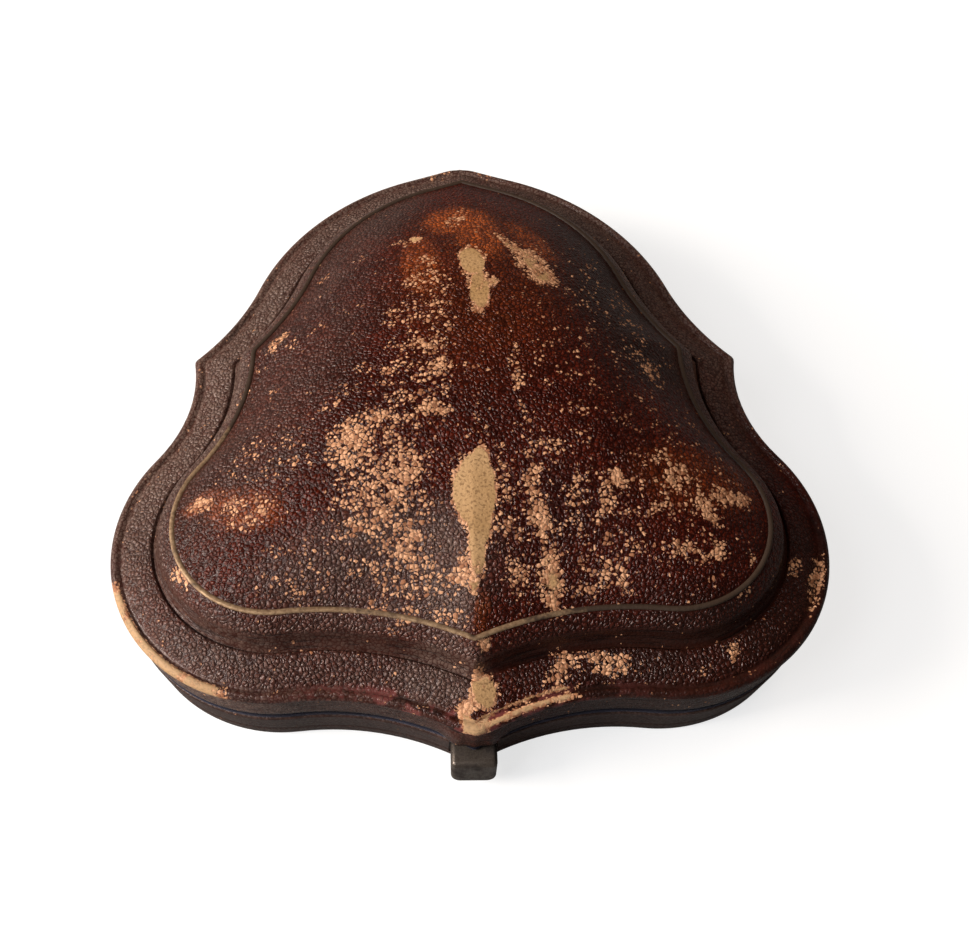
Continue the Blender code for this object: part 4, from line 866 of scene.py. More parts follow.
outer_profile = lid_profile()
dome_shares = [0.006, 0.016, 0.03] + [0.03 + 0.94 * i / 44.0 for i in range(1, 45)]
outer_dome, crown = dome(dome_inset, step_height, dome_rise, dome_shares)
inner_shares = [0.0, 0.08, 0.18, 0.3, 0.45, 0.62, 0.82]
inner_dome, inner_crown = dome(
    dome_inset + skin_thickness / 2.0, step_height - skin_thickness, dome_rise, inner_shares
)
worn_inset, swelling_top, point_reach = 0.0012, 0.0150, 0.0015
blunt_below, blunt_more = 0.0001, 0.0005
corner_x, corner_swell = 0.0031, 0.0011
lid_rings = list(reversed(inner_dome))
lid_rings += [ring_at(i, z) for i, z in reversed(lid_inside())]
for inset, height, _ in outer_profile:
    ring = ring_at(inset, height)
    if inset < worn_inset:
        # The points are worn blunt at the bead, and below it the front corner's leather has swollen.
        at_bead = ease((height - swelling_top) / 0.003)
        point = np.exp(-((ring[:, 0] / point_reach) ** 2)) * (np.abs(ring[:, 1]) > 0.05)
        ring[:, 1] -= np.sign(ring[:, 1]) * (blunt_below + blunt_more * at_bead) * point
        corner = np.exp(-(((np.abs(ring[:, 0]) - corner_x) / point_reach) ** 2)) * (ring[:, 1] < -0.05)
        ring[:, 1] -= corner_swell * (1.0 - at_bead) * corner
    lid_rings.append(ring)
lid_rings += outer_dome
hidden = len(inner_dome) + len(lid_inside())
by_ring = [(1.0, 0.01)] * hidden + [(smooth, inset) for inset, _, smooth in outer_profile]
by_ring += [(0.0, dome_inset)] * len(outer_dome)
by_point = np.vstack([np.repeat(by_ring, len(lid_rings[0]), axis=0), [(1.0, 0.01), (0.0, dome_inset)]])
lid_skin = placed("lid_leather_skin", lofted(lid_rings, inner_crown, crown))
mark(lid_skin.data, tooled=by_point[:, 0], inset=by_point[:, 1])
cut_away(lid_skin, map(block, (hinge_rebate, catch_rebate)))
lid_mesh = lid_skin.data

# Rubbed places on the lid, in millimetres: middle x and y, half length, half width, turn and strength.
bare_patches = [
    (0.4, -28.2, 7.2, 4, 92, 1.24), (1, -24.4, 4, 2.2, 84, 1.18), (-1, -29, 5.6, 3, 100, 1.16),
    (1, -33, 5, 2.4, 84, 1.14), (0.4, -37.4, 4.8, 1.7, 96, 1.06), (-0.2, -41.4, 2.4, 1.2, 92, 1),
    (-1.2, -39.4, 4.4, 2.2, 60, 0.84), (0.9, 18, 5.4, 2.9, 96, 1.12), (2, 10.5, 6.6, 2.3, 90, 1.08),
    (4.2, 12.6, 2, 1.4, 40, 0.92), (12.4, 17.8, 6.8, 3.8, 115, 0.94), (9, 22.4, 4.4, 2, 128, 0.94),
    (6.4, 26.2, 2.4, 0.9, 140, 0.82), (-8.8, 25.9, 1.6, 1.2, 0, 1.15), (1.4, -55, 3.6, 2.7, 100, 1.04),
    (-1.4, -57.4, 2, 1.4, 30, 1), (1.4, -49.4, 1.4, 1.2, 70, 0.95),
]
rubbed_streaks = [
    (-4, 1.6, 4.6, 1.9, 70, 0.68), (-4.6, -6, 3.6, 2.4, 90, 0.8), (-8, -2.6, 5, 3, 12, 0.72),
    (-14, -27, 19, 10, 104, 0.64), (-9, -8, 15, 8, 80, 0.6), (-7, 10, 12, 6, 92, 0.58),
    (-24, -38, 14, 7, 10, 0.5), (-33, -21, 10, 9, 0, 0.46), (-12, -41, 8, 4, 100, 0.66),
    (-5.6, -42.5, 5, 4, 90, 0.56), (-19.5, -19.6, 5.4, 4.6, 45, 0.8), (-13.6, -16, 4.4, 2.6, 12, 0.76),
    (-17, -25, 5.6, 5, 110, 0.74), (-20, -9.4, 3, 1.6, 20, 0.68), (-23, -12.5, 2.4, 2, 20, 0.58),
    (-6, -14.4, 3.4, 2.2, 0, 0.78), (0.5, -17, 4, 1.6, 150, 0.58), (-11, -25, 5, 4.4, 90, 0.8),
    (-12.6, -29.5, 4.6, 3.4, 60, 0.82), (-17.6, -32, 4.4, 2.6, 60, 0.72),
    (-10.2, -35.5, 5.4, 3.2, 100, 0.8), (-8.4, -39.5, 4, 2.6, 40, 0.72), (-14.8, -42.6, 3.4, 1.8, 30, 0.66),
    (7.6, -7, 8, 1.5, 92, 0.68), (8.4, -17, 5, 1.4, 95, 0.62), (9.4, -26, 5, 1.8, 95, 0.8),
    (10.6, -33.5, 6, 2.2, 100, 0.82), (12, -40.5, 6.4, 2.3, 92, 0.9), (4.6, -29, 12, 2.2, 90, 0.66),
    (6.6, -38, 7, 2.4, 90, 0.66), (9, -30, 16, 6, 90, 0.58), (16, -29, 5.4, 1.7, 88, 0.72),
    (16.4, -41, 4.4, 1.5, 84, 0.66), (20.4, -31, 9, 1.6, 86, 0.66), (22.8, -26, 2.8, 1.8, 110, 0.88),
    (19.4, -40.6, 4.6, 1.6, 78, 0.78), (23.2, -40.6, 4.2, 1.3, 95, 0.74), (25.4, -35.5, 3.6, 1.8, 60, 0.68),
    (32.8, -24, 3.8, 2.2, 60, 0.9), (30.2, -21, 2.6, 1.6, 40, 0.8), (37.4, -29.4, 3.6, 1.7, 120, 0.86),
    (41.5, -26.2, 5.4, 1.9, 12, 0.88), (30, -28, 5.6, 0.9, 62, 0.74), (33, -36.2, 5.8, 1.7, 170, 0.8),
    (38.4, -36, 2.6, 2, 100, 0.82), (36.4, -40.2, 2.6, 1.2, 0, 0.74), (42, -41.4, 2.6, 1, 20, 0.76),
    (44.2, -36, 1.6, 0.9, 70, 0.74), (33, -31, 14, 10, 20, 0.52), (21, -32, 14, 8, 90, 0.54),
    (34, -17.5, 3, 1, 120, 0.7), (24.5, -15.4, 3.4, 0.8, 25, 0.68), (14, -20, 8, 2.4, 5, 0.6),
    (31.4, -2.4, 4.2, 2.4, 100, 0.72), (35, 4, 3, 1.4, 70, 0.5), (-43.4, -26.4, 3, 1.8, 20, 0.8),
    (-36.5, -29.5, 5.6, 3.4, 155, 0.66), (-33.8, -29.4, 2.4, 3, 100, 0.66), (-30, -23, 5, 4, 60, 0.54),
    (-46.4, -37.6, 3.2, 1.5, 135, 0.8), (-33.4, 6.8, 3.6, 2, 60, 0.84), (-35.6, 2.4, 3, 1.4, 50, 0.64),
    (-30, 5, 2.4, 2, 20, 0.56), (-39, -2.6, 2.4, 1, 60, 0.6), (-33.2, -5.2, 2, 1.3, 30, 0.64),
    (-26.2, 21.4, 2.2, 1.5, 20, 0.66), (-24.6, 17, 2.4, 1.6, 30, 0.58), (-25.8, 6.6, 2.4, 1.6, 30, 0.56),
    (-19.5, 23.4, 2.4, 1.6, 30, 0.54), (-39.4, 17, 1.5, 0.9, 60, 0.66), (-12, 5.5, 3.6, 4, 60, 0.6),
    (-7.4, 17, 4.4, 1.7, 95, 0.68), (-7, 11.6, 3, 2.2, 90, 0.68), (-11.6, 25.4, 3.4, 1.4, 170, 0.64),
    (-17.5, -6, 2.6, 2, 100, 0.54), (-1.6, 31.8, 4, 2.2, 60, 0.8), (2.6, 28, 3.6, 2, 120, 0.58),
    (12, -4, 4, 3, 90, 0.48), (16, -12, 4, 4, 90, 0.46), (-12, -51.6, 2.4, 1, 90, 0.64),
    (-27, -48.4, 3, 0.6, 0, 0.66), (-2.4, -46, 2.4, 1.6, 0, 0.68), (21, -50.8, 5, 2.6, 0, 0.78),
    (13.6, -51.6, 5, 2.4, 40, 0.8), (17, -49.2, 8.6, 0.6, 0, 0.8), (40.8, -48.6, 2.2, 1.2, 90, 0.84),
    (36, -51.5, 2.4, 0.8, 10, 0.6), (56.4, -36.4, 6.4, 1.8, 72, 0.82), (53, -34, 3, 1.6, 60, 0.74),
    (-57.2, -19, 2.6, 1.4, 80, 0.56), (-57.4, -25.6, 1.2, 1, 0, 0.7), (-48.6, -35.8, 1.6, 0.9, 60, 0.62),
    (-48, 5.5, 2.6, 0.9, 60, 0.54), (-5, 58.4, 4, 0.8, 22, 0.6), (5, 58.4, 4, 0.8, -22, 0.6),
]
stains = [
    (-1, 31.5, 6.4, 5, 0, 0.95), (2.5, 26, 8, 4.6, 100, 0.7), (12, 26, 7, 3, 125, 0.5),
    (-8, 18, 9, 3.6, 95, 0.5), (-36.5, -28.5, 7, 3.4, 165, 0.42), (-43.5, -26, 3.4, 1.8, 25, 0.45),
    (0.9, -45.6, 3, 1.1, 85, 0.36), (36, -24, 11, 6, 0, 0.2), (2, 16, 24, 16, 90, 0.12),
]
# Dust and a painted sheen, mostly on the left slopes and round the back.
dust_and_sheen_patches = [
    (-16, -40, 20, 10, 10, 0.46), (-36, -10, 34, 13, 62, 0.22), (-4.4, -39.5, 10, 4.8, 94, 0.8),
    (-6, -52.5, 8, 5, 0, 0.62), (-24, 28, 30, 9, 55, 0.36), (32, 31, 34, 5.5, 118, 0.85),
    (42, -2, 22, 5, 110, 0.3),
]
# Painted shade on the right slopes.
painted_shade_patches = [
    (27, 14, 24, 9, 112, 0.55), (34, -50, 26, 8, 10, 0.5), (54, -36, 14, 8, 65, 0.5),
    (12, -50, 9, 5, 20, 0.35),
]


def spread_marks(patches):
    """How strongly a set of soft oval patches lies on each point of the lid, seen from above."""
    total = np.zeros(len(places))
    for x, y, long, wide, turn, strength in patches:
        c, s = math.cos(math.radians(turn)), math.sin(math.radians(turn))
        dx, dy = x_mm - x, y_mm - y
        reach = np.hypot((dx * c + dy * s) / long, (-dx * s + dy * c) / wide)
        total = np.maximum(total, strength * (1.0 - ease((reach - 0.55) / 0.75)))
    return total


places = vertex_places(lid_mesh)
x_mm, y_mm = places[:, 0] * 1000.0, places[:, 1] * 1000.0
up_from = places[:, 2] - bead_height
wander = steady_noise(places, 140.0, 11)

# Handling wore the dome a little everywhere, and most on its front half and its right side.
everyday = 0.26 + 0.04 * wander
on_dome = ease((places[:, 2] - step_height) / 0.004)
front_half = ease((0.030 - places[:, 1]) / 0.05) * ease((places[:, 1] + 0.048) / 0.03)
inner_half = ease((0.034 - np.abs(places[:, 0])) / 0.02)
everyday = everyday + 0.12 * on_dome * front_half * inner_half
right_side = ease((places[:, 0] - 0.004) / 0.008) * ease((0.034 - places[:, 1]) / 0.012)
everyday = np.maximum(everyday, 0.26 + on_dome * right_side * (0.18 + 0.04 * wander))
rub = np.maximum(everyday, spread_marks(bare_patches))
rub = np.maximum(rub, spread_marks(rubbed_streaks) + 0.03 * wander)

# The bead is worn to tan on the left lobe and beside the front point, and has gone to red rot between.
far_out = np.linalg.norm(places[:, :2] / np.array([0.062, 0.064]), axis=1) > 0.6
on_bead = (np.abs(up_from) < bead_radius * 1.25) & (up_from < bead_radius * 1.02) & far_out
inset_here = np.zeros(len(places))
lid_mesh.attributes["inset"].data.foreach_get("value", inset_here)
tan_left = ease((-35.0 - x_mm) / 6.0) * ease((-32.0 - y_mm) / 6.0)
tan_left = tan_left * ease((bead_radius * 0.45 - inset_here) / (bead_radius * 0.3))
tan_front = ease((x_mm - 0.6) / 1.6) * ease((18.0 - x_mm) / 4.0) * ease((-50.0 - y_mm) / 4.0)
tan_front = tan_front * ease((up_from - bead_radius * 0.45) / (bead_radius * 0.4))
tan_point = ease((2.8 - np.abs(x_mm)) / 1.2) * ease((-56.0 - y_mm) / 1.5)
tan_point = tan_point * ease((up_from + bead_radius * 0.3) / (bead_radius * 0.4))
worn_tan = np.maximum(np.maximum(tan_left, tan_front), tan_point)
rub = np.where(on_bead, np.maximum(rub, 0.3 + 0.74 * worn_tan + 0.04 * wander), rub)
rot = np.where(on_bead, 0.1 + 0.9 * ease((-44.0 - y_mm) / 6.0) * ease((34.0 - np.abs(x_mm)) / 26.0), 0.0)

# Dust and a painted sheen lie on the edge of the lid, thickest round the back, and on the left slopes,
# which face the window. Painted shade darkens the right slopes.
low_edge = 1.0 - ease((places[:, 2] - cove_height) / 0.003)
round_back = ease((y_mm + 34.0 - 0.3 * x_mm) / 40.0)
round_left = ease((8.0 - x_mm) / 40.0)
edge_dust_and_sheen = 0.03 + 0.5 * round_left * (1.0 - 0.6 * round_back) + 0.85 * round_back
on_side = ease((-bead_radius - up_from) / 0.0006)
edge_dust_and_sheen = edge_dust_and_sheen + on_side * (0.12 + 0.3 * round_left)
dusty = np.maximum(spread_marks(dust_and_sheen_patches), low_edge * edge_dust_and_sheen) * (1.0 + 0.25 * wander)
mark(
    lid_mesh,
    rub=np.clip(rub, 0.0, 1.3),
    stain=np.clip(spread_marks(stains), 0.0, 1.0),
    rot=np.clip(rot, 0.0, 1.0),
    dusty=np.clip(dusty, 0.0, 1.0),
    grime=spread_marks(painted_shade_patches),
)
cover(lid_skin, goatskin("lid_goatskin", (0.046, 0.0056, 0.0021), (0.080, 0.0084, 0.0025), 0.3), 50.0)
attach(lid_skin, "lid")
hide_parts("lid_leather")


# Gilt line of the lid
# A thin raised fillet of gold leaf over a cord runs round the foot of the dome. It follows the outline
# and is rubbed brown in places, and painted shade turns it brown towards the right.


def painted(steps, shape, finish):
    """The last steps of a geometry tree: real copies, in one material."""
    real = steps.add("GeometryNodeRealizeInstances", {"Geometry": shape}).outputs["Geometry"]
    return steps.add("GeometryNodeSetMaterial", {"Geometry": real, "Material": finish}).outputs["Geometry"]


def fillet_tree(finish):
    """A small rounded bar, pressed a little flat, run along a curve."""
    inputs = [("Path", "Geometry"), ("Bar Radius", "Float", 0.0003), ("Bar Sides", "Int", 8)]
    steps, given, results = new_group("gilt_fillet", inputs, [("Bar Mesh", "Geometry")], "GeometryNodeTree")
    size = {"Resolution": given["Bar Sides"], "Radius": given["Bar Radius"]}
    circle = steps.add("GeometryNodeCurvePrimitiveCircle", size).outputs["Curve"]
    pressed = {"Geometry": circle, "Scale": (1.0, 0.62, 1.0)}
    pressed = steps.add("GeometryNodeTransform", pressed).outputs["Geometry"]
    sweep = steps.add("GeometryNodeCurveToMesh", {"Curve": given["Path"], "Profile Curve": pressed})
    steps.feed(results["Bar Mesh"], painted(steps, sweep.outputs["Mesh"], finish))
    return steps.tree


def ring_curve(ring):
    curve = bpy.data.curves.new("path", "CURVE")
    curve.dimensions = "3D"
    spline = curve.splines.new("POLY")
    spline.points.add(len(ring) - 1)
    for point, place in zip(spline.points, ring):
        point.co = (*place, 1.0)
    spline.use_cyclic_u = True
    return placed("path", curve)


def run_nodes(source, tree, inputs, name, sharp=40.0):
    """A Geometry Nodes tree run on an object and kept as a plain mesh piece."""
    modifier = source.modifiers.new("making", "NODES")
    modifier.node_group = tree
    ids = {item.name: item.identifier for item in tree.interface.items_tree if item.in_out == "INPUT"}
    for key, value in inputs.items():
        modifier[ids[key]] = value
    bpy.context.view_layer.update()
    evaluated = source.evaluated_get(bpy.context.evaluated_depsgraph_get())
    mesh = bpy.data.meshes.new_from_object(evaluated)
    bpy.data.objects.remove(source, do_unlink=True)
    face_out(mesh)
    mesh.shade_smooth()
    mesh.set_sharp_from_angle(angle=math.radians(sharp))
    return placed(name, mesh)


def gold_leaf():
    leaf = Finish("worn_gold_leaf", 0.5)
    missing = leaf.noise(300.0, 4.0, 0.65)
    place = leaf.add("ShaderNodeSeparateXYZ", {0: leaf.place}).outputs
    # Leaf is lost towards the back, where it is worn, and towards the right, as painted shade.
    kept = leaf.ramp(leaf.times_plus(place["X"], 0.6, place["Y"]), -0.014, -0.052, 0.0, 0.55)
    worn_off_and_shaded = leaf.ramp(leaf.less(missing, kept), -0.05, 0.2)
    fresh = leaf.ramp(leaf.noise(1800.0), 0.3, 0.7)
    gold = leaf.blend(fresh, (0.22, 0.13, 0.072), (0.38, 0.25, 0.145))
    leaf.give(
        {
            "Base Color": leaf.blend(worn_off_and_shaded, gold, (0.044, 0.027, 0.018)),
            "Metallic": leaf.ramp(worn_off_and_shaded, 0.0, 1.0, 0.35, 0.0),
            "Roughness": leaf.ramp(missing, 0.3, 0.7, 0.42, 0.62),
            "Specular IOR Level": 0.25,
        }
    )
    leaf.relief(leaf.noise(900.0), 0.00012)
    return leaf.made


gilt_path = ring_curve(ring_at(step_inset + 0.0003, step_height - 0.00006))
gilt_size = {"Bar Radius": 0.00046, "Bar Sides": 12}
gilt = run_nodes(gilt_path, fillet_tree(gold_leaf()), gilt_size, "gilt_line")
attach(gilt, "lid")


# Silk lining and its border
# Ivory silk satin is stretched over wadding on a card in the lid, and gathers a little at its edge. A
# navy velvet ribbon on card is glued round it and hides the raw edge.

silk_high = 0.0162
silk_edge_inset = 0.00552
silk_puff = 0.0015


def silk_satin():
    satin = Finish("ivory_satin", 0.36)
    threads = satin.noise(5200.0, 3.0, 0.6, satin.drawn_out(0.05, 1.0, 0.3))
    foxing = satin.ramp(satin.noise(46.0, 4.0, 0.6), 0.58, 0.75, 0.0, 0.5)
    clean = satin.blend(satin.ramp(threads, 0.3, 0.7), (0.62, 0.52, 0.36), (0.72, 0.63, 0.47))
    satin.give(
        {
            "Base Color": satin.blend(foxing, clean, (0.50, 0.36, 0.19)),
            "Sheen Weight": 0.25,
            "Sheen Roughness": 0.3,
            "Anisotropic": 0.5,
        }
    )
    satin.relief(threads, 0.00003)
    return satin.made


def silk_sheet():
    """The face of the silk, from its edge to the middle, on every other point of the outline."""
    face_height = silk_high - 0.001
    top = np.array([0.0, dome_middle_y, face_height])
    edge = clamped_ring(silk_edge_inset, face_height, back=True, front=True)[::2]
    inner = clamped_ring(silk_edge_inset + 0.0013, face_height, back=True, front=True)[::2]
    rings = [edge]
    for i in range(27):
        share = (i / 27.0) ** 1.25
        ring = inner + (top - inner) * share
        ring[:, 2] -= silk_puff * math.sqrt(1.0 - (1.0 - share) ** 2) * 0.92
        rings.append(ring)
    count = len(edge)
    points = np.vstack([*rings, top - np.array([0.0, 0.0, silk_puff * 0.92])])
    faces = []
    for low in range(0, len(rings) * count, count):
        for i in range(count):
            pair = (low + (i + 1) % count, low + i)
            if low + count < len(points) - 1:
                faces.append((*pair, pair[1] + count, pair[0] + count))
            else:
                faces.append((*pair, len(points) - 1))
    return mesh_of(points, faces), count


silk_mesh, round_count = silk_sheet()
silk = placed("silk_lining", silk_mesh)
swollen(silk, np.arange(len(silk_mesh.vertices)) < round_count, 1.2, 0.0011, 0.035)
bm = bmesh.new()
bm.from_mesh(silk.data)
rim = [e for e in bm.edges if e.is_boundary]
for part in bmesh.ops.extrude_edge_only(bm, edges=rim)["geom"]:
    if isinstance(part, bmesh.types.BMVert):
        part.co.z = silk_high
bmesh.ops.contextual_create(bm, geom=[e for e in bm.edges if e.is_boundary])
bm.to_mesh(silk.data)
bm.free()
face_out(silk.data)
worked(silk, "SUBSURF", levels=1, render_levels=1)
cover(silk, silk_satin())
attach(silk, "lid")
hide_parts("lid_silk")

border_width = 0.0009
border_low, border_high = 0.0142, 0.0162
border_profile = [(lining_inset, border_high), (lining_inset, border_low + 0.0003)]
for angle in (200.0, 230.0, 270.0, 310.0, 340.0):
    turn = math.radians(angle)
    across = lining_inset + border_width / 2.0 + border_width / 2.0 * math.cos(turn)
    border_profile.append((across, border_low + 0.0004 + 0.0004 * math.sin(turn)))
border_profile += [(lining_inset + border_width, z) for z in (border_low + 0.0006, border_high)]
border_rings = [clamped_ring(i, z, back=True) for i, z in reversed(border_profile)]
border = placed("velvet_ribbon", lofted(border_rings, closed=True))
face_out(border.data)
cut_away(border, [block((-0.007, 0.007, -0.068, block_back_y + 0.0003, 0.0, 0.03))])
cover(border, navy_velvet)
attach(border, "lid")
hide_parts("lid_border")


# Push button
# A bronze tab cast in one with its stem. It stands in a pocket at the front point, browned with age.


def old_metal(name, body, bright, tarnish, roughness=0.38, metallic=1.0):
    """Cast or stamped metal with tarnish in patches and fine scratches."""
    metal = Finish(name, roughness, metallic)
    patches, fine = metal.noise(420.0, 4.0, 0.62), metal.noise(5200.0, 2.0)
    brushed = metal.noise(4200.0, 2.0, at=metal.drawn_out(1.0, 1.0, 0.12))
    tone = metal.blend(metal.ramp(brushed, 0.3, 0.7), body, bright)
    colour = metal.blend(metal.ramp(patches, 0.45, 0.68, 0.0, 0.85), tone, tarnish)
    dull = metal.ramp(patches, 0.35, 0.7, roughness - 0.08, roughness + 0.22)
    metal.give({"Base Color": colour, "Roughness": dull})
    metal.relief(metal.times_plus(brushed, 0.7, fine), 0.00003)
    return metal.made


button_front = front_share * half_width - 0.0022 - middle_y
button_back = front_share * half_width - 0.0013 + 0.0032 - middle_y
button_half = 0.0037
button_top, button_bottom = 0.010175, 0.002575
stem_half, stem_low, stem_high, stem_back = 0.0016, 0.004875, 0.007875, -0.055918
edge_round = 0.00085


def button_rings():
    """The stem, then the tab's back, and its face drawn in ring by ring to round the edges."""
    corners = [(1, 1, 0.00075), (-1, 1, 0.00075), (-1, -1, 0.0017), (1, -1, 0.0017)]

    def face_ring(half, low, high, shrink, y, tight=False):
        points = []
        middle, tall = (low + high) / 2.0, (high - low) / 2.0
        for number, (sx, sz, radius) in enumerate(corners):
            inner = 0.0001 if tight else max(radius - shrink, 0.00012)
            cx = sx * (half - shrink - inner)
            cz = middle + sz * (tall - shrink - inner)
            for step in range(11):
                turn = math.radians(90.0 * number + 90.0 * step / 10.0)
                points.append((cx + inner * math.cos(turn), y, cz + inner * math.sin(turn)))
        return np.array(points)

    tab = (button_half, button_bottom, button_top)
    face = [(0.0026, button_front - 0.00004), (0.0015, button_front - 0.00003)]
    for angle in (0.0, 18.0, 36.0, 54.0, 72.0, 90.0):
        turn = math.radians(angle)
        face.append((edge_round * (1.0 - math.sin(turn)), button_front + edge_round * (1.0 - math.cos(turn))))
    face += [(0.0, button_back - 0.0003), (0.0001, button_back - 0.0001), (0.0003, button_back)]
    stem = (stem_half, stem_low, stem_high)
    rings = [face_ring(*tab, shrink, y) for shrink, y in face]
    return rings + [face_ring(*stem, 0.0, y, tight=True) for y in (button_back, stem_back)]


bronze_tones = ((0.075, 0.058, 0.048), (0.13, 0.105, 0.085), (0.04, 0.03, 0.027))
bronze = old_metal("browned_bronze", *bronze_tones, 0.42, 0.6)
tab = placed("button_tab", lofted(button_rings()))
face_out(tab.data)
cut_away(tab, [block((-0.004, 0.004, -0.058668, -0.05, 0.005675, 0.007075))])
cover(tab, bronze, 38.0)
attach(tab, "button")
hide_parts("push_button")


# Brass of the hinge and the catch
# The hinge, the catch box, its slide and the hook are small stamped brass parts, let into the wood and
# held by brass screws. The pin and the spring are steel.

brass = old_metal("aged_brass", (0.50, 0.33, 0.12), (0.66, 0.46, 0.19), (0.20, 0.12, 0.05), 0.34)
steel = old_metal("dull_steel", (0.32, 0.31, 0.30), (0.45, 0.44, 0.42), (0.12, 0.09, 0.07), 0.36)
dress(brass, "hinge_leaf_base", "hinge_leaf_lid", "catch_housing", "latch_slide", "strike_hook")
dress(steel, "hinge_pin", "latch_spring")


# Brass screws
# Eight countersunk wood screws, two in each hinge leaf, two in the catch box and two in the hook plate.
# Their heads are slightly crowned and their slots stand at chance angles.

head_radius, head_depth, shank_radius, screw_long = 0.00105, 0.0005, 0.0005, 0.0036
slot_seed = 4


def one_screw():
    profile = (
        (shank_radius / 3.0, -screw_long),
        (shank_radius, 2.0 * shank_radius - screw_long),
        (shank_radius, -head_depth),
        (head_radius, -0.0001),
        (head_radius * 0.97, -0.00002),
        (head_radius * 0.75, 0.0),
    )
    piece = placed("screw", lofted([round_ring(radius, radius, z, 20) for radius, z in profile]))
    cut_away(piece, [block((-0.002, 0.002, -0.00015, 0.00015, -0.00025, 0.001))])
    cover(piece, brass, 35.0)
    return piece


def screws_tree(finish):
    """Copies of one screw on the given points, each with its slot turned by chance from a fixed seed."""
    inputs = [("Points", "Geometry"), ("Screw", "Object"), ("Driven Up", "Float", 0.0)]
    inputs.append(("Slot Seed", "Int", slot_seed))
    outputs = [("Screws", "Geometry")]
    steps, given, results = new_group("screws_on_points", inputs, outputs, "GeometryNodeTree")
    source = steps.add("GeometryNodeObjectInfo", {"Object": given["Screw"]})
    turns = {3: math.pi, "Seed": given["Slot Seed"]}
    chance = steps.add("FunctionNodeRandomValue", turns, data_type="FLOAT")
    turn = steps.add("ShaderNodeCombineXYZ", {"X": given["Driven Up"], "Z": chance.outputs[1]})
    copies = {
        "Points": given["Points"],
        "Instance": source.outputs["Geometry"],
        "Rotation": turn.outputs["Vector"],
    }
    spread = steps.add("GeometryNodeInstanceOnPoints", copies).outputs["Instances"]
    steps.feed(results["Screws"], painted(steps, spread, finish))
    return steps.tree


model_screw = one_screw()
screw_tree = screws_tree(brass)
hinge_y, catch_y = 0.056362, -0.053143
# Each set's body, its turn about x, the height and half spacing at the hinge, and those at the catch.
screw_sets = (
    ("base_screws", "base", 0.0, (0.0101, 0.0036), (0.0099, 0.0053)),
    ("lid_screws", "lid", math.pi, (0.0114, 0.0036), (0.0116, 0.0036)),
)
for name, body, turned_over, *rows in screw_sets:
    spots = [(x, y, z) for y, (z, half) in zip((hinge_y, catch_y), rows) for x in (-half, half)]
    holder = placed("spots", mesh_of(spots, []))
    values = {"Screw": model_screw, "Driven Up": turned_over, "Slot Seed": slot_seed}
    screws = run_nodes(holder, screw_tree, values, name, 35.0)
    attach(screws, body)
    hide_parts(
        *[n for n in nodes if "screw" in n and (("lid" in n or "strike" in n) == (body == "lid"))]
    )
bpy.data.objects.remove(model_screw, do_unlink=True)


# Floor, light and camera
# The case stands on a plain white table in soft window light that comes from the left and from behind.
# The camera looks down at the front point.

floor_reach = 3.0
corners = [(x * floor_reach, y * floor_reach, -0.0001) for x, y in ((-1, -1), (1, -1), (1, 1), (-1, 1))]
floor = placed("floor", mesh_of(corners, [(0, 1, 2, 3)]))
white = Finish("white_table", 0.9)
rays = white.add("ShaderNodeLightPath").outputs
# The leather mirrors the table darker than it is, so that its grain isn't veiled.
table = white.blend(rays["Is Glossy Ray"], (0.42, 0.42, 0.42), (0.22, 0.22, 0.22))
white.give(
    {
        "Base Color": white.blend(rays["Is Camera Ray"], table, (0.38, 0.38, 0.38)),
        "Emission Color": white.blend(rays["Is Camera Ray"], (0.0, 0.0, 0.0), (0.72, 0.72, 0.72)),
        "Emission Strength": 1.0,
        "Specular IOR Level": 0.0,
    }
)
floor.data.materials.append(white.made)

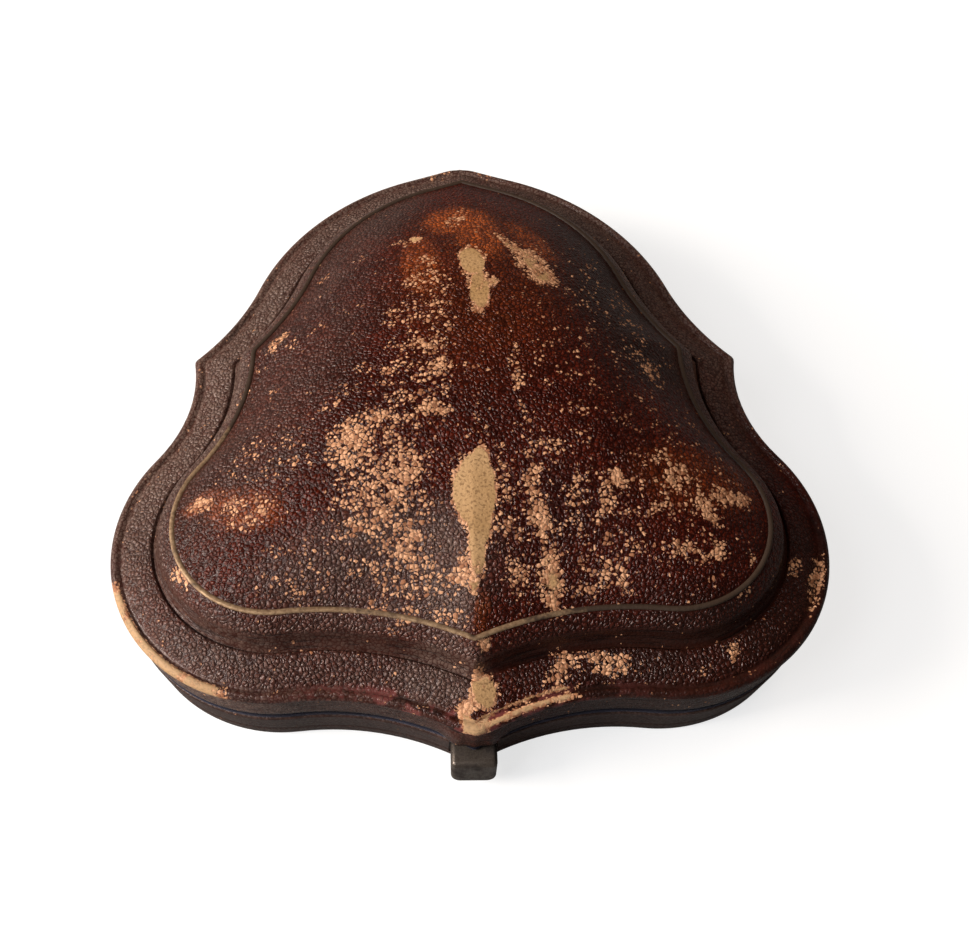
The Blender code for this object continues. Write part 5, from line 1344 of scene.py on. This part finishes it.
world = bpy.data.worlds.new("studio")
bpy.context.scene.world = world
world.use_nodes = True
sky = Steps(world.node_tree)
background = sky.tree.nodes["Background"].inputs
background["Color"].default_value = (0.95, 0.97, 1.0, 1.0)
seen = sky.add("ShaderNodeLightPath").outputs["Is Camera Ray"]
sky.feed(background["Strength"], sky.times_plus(seen, 0.97, 0.03))

# Window and sky light the case from the left. The room lamps stand in for the pale walls, which light it
# without a glare on the leather.
lamps = (
    ("window_left", (-0.9, -0.14, 0.52), (0.42, 0.42), 15.8, (1.0, 0.93, 0.85)),
    ("sky_left", (-0.66, -0.40, 0.85), (0.42, 0.6), 5.0, (0.97, 0.97, 1.0)),
    ("room_back", (0.55, 0.8, 0.55), (0.6, 0.3), 4.2, (1.0, 0.82, 0.66)),
    ("room_front", (-0.1, -0.95, 0.3), (0.9, 0.4), 0.6, (1.0, 0.94, 0.92)),
)
for name, place, size, power, colour in lamps:
    light = bpy.data.lights.new(name, "AREA")
    light.shape = "RECTANGLE"
    light.size, light.size_y = size
    light.energy = power
    light.color = colour
    lamp = placed(name, light)
    lamp.location = place
    lamp.rotation_euler = (Vector((0.0, 0.0, 0.02)) - Vector(place)).to_track_quat("-Z", "Y").to_euler()
    lamp.visible_glossy = not name.startswith("room")

elevation, heading, tilt = math.radians(56.985), math.radians(1.113), math.radians(0.492)
camera_away = 0.210307
photo_wide, photo_focus, photo_shift = 969.0, 1200.0, 43.22

forward = Vector(
    (
        math.sin(heading) * math.cos(elevation),
        math.cos(heading) * math.cos(elevation),
        -math.sin(elevation),
    )
)
right = Vector((math.cos(heading), -math.sin(heading), 0.0))
above = right.cross(forward)
right_turned = right * math.cos(tilt) + above * math.sin(tilt)
above_turned = above * math.cos(tilt) - right * math.sin(tilt)
aim = Vector((-0.004694, -middle_y, bead_height))
camera_data = bpy.data.cameras.new("camera")
camera_data.sensor_width = 36.0
camera_data.lens = photo_focus / photo_wide * 36.0
camera_data.shift_x = photo_shift / photo_wide
camera_data.clip_start = 0.01
camera = placed("camera", camera_data)
facing = Matrix((right_turned, above_turned, -forward)).transposed()
camera.matrix_world = Matrix.Translation(aim - forward * camera_away) @ facing.to_4x4()
bpy.context.scene.camera = camera
bpy.context.scene.view_settings.view_transform = "Standard"
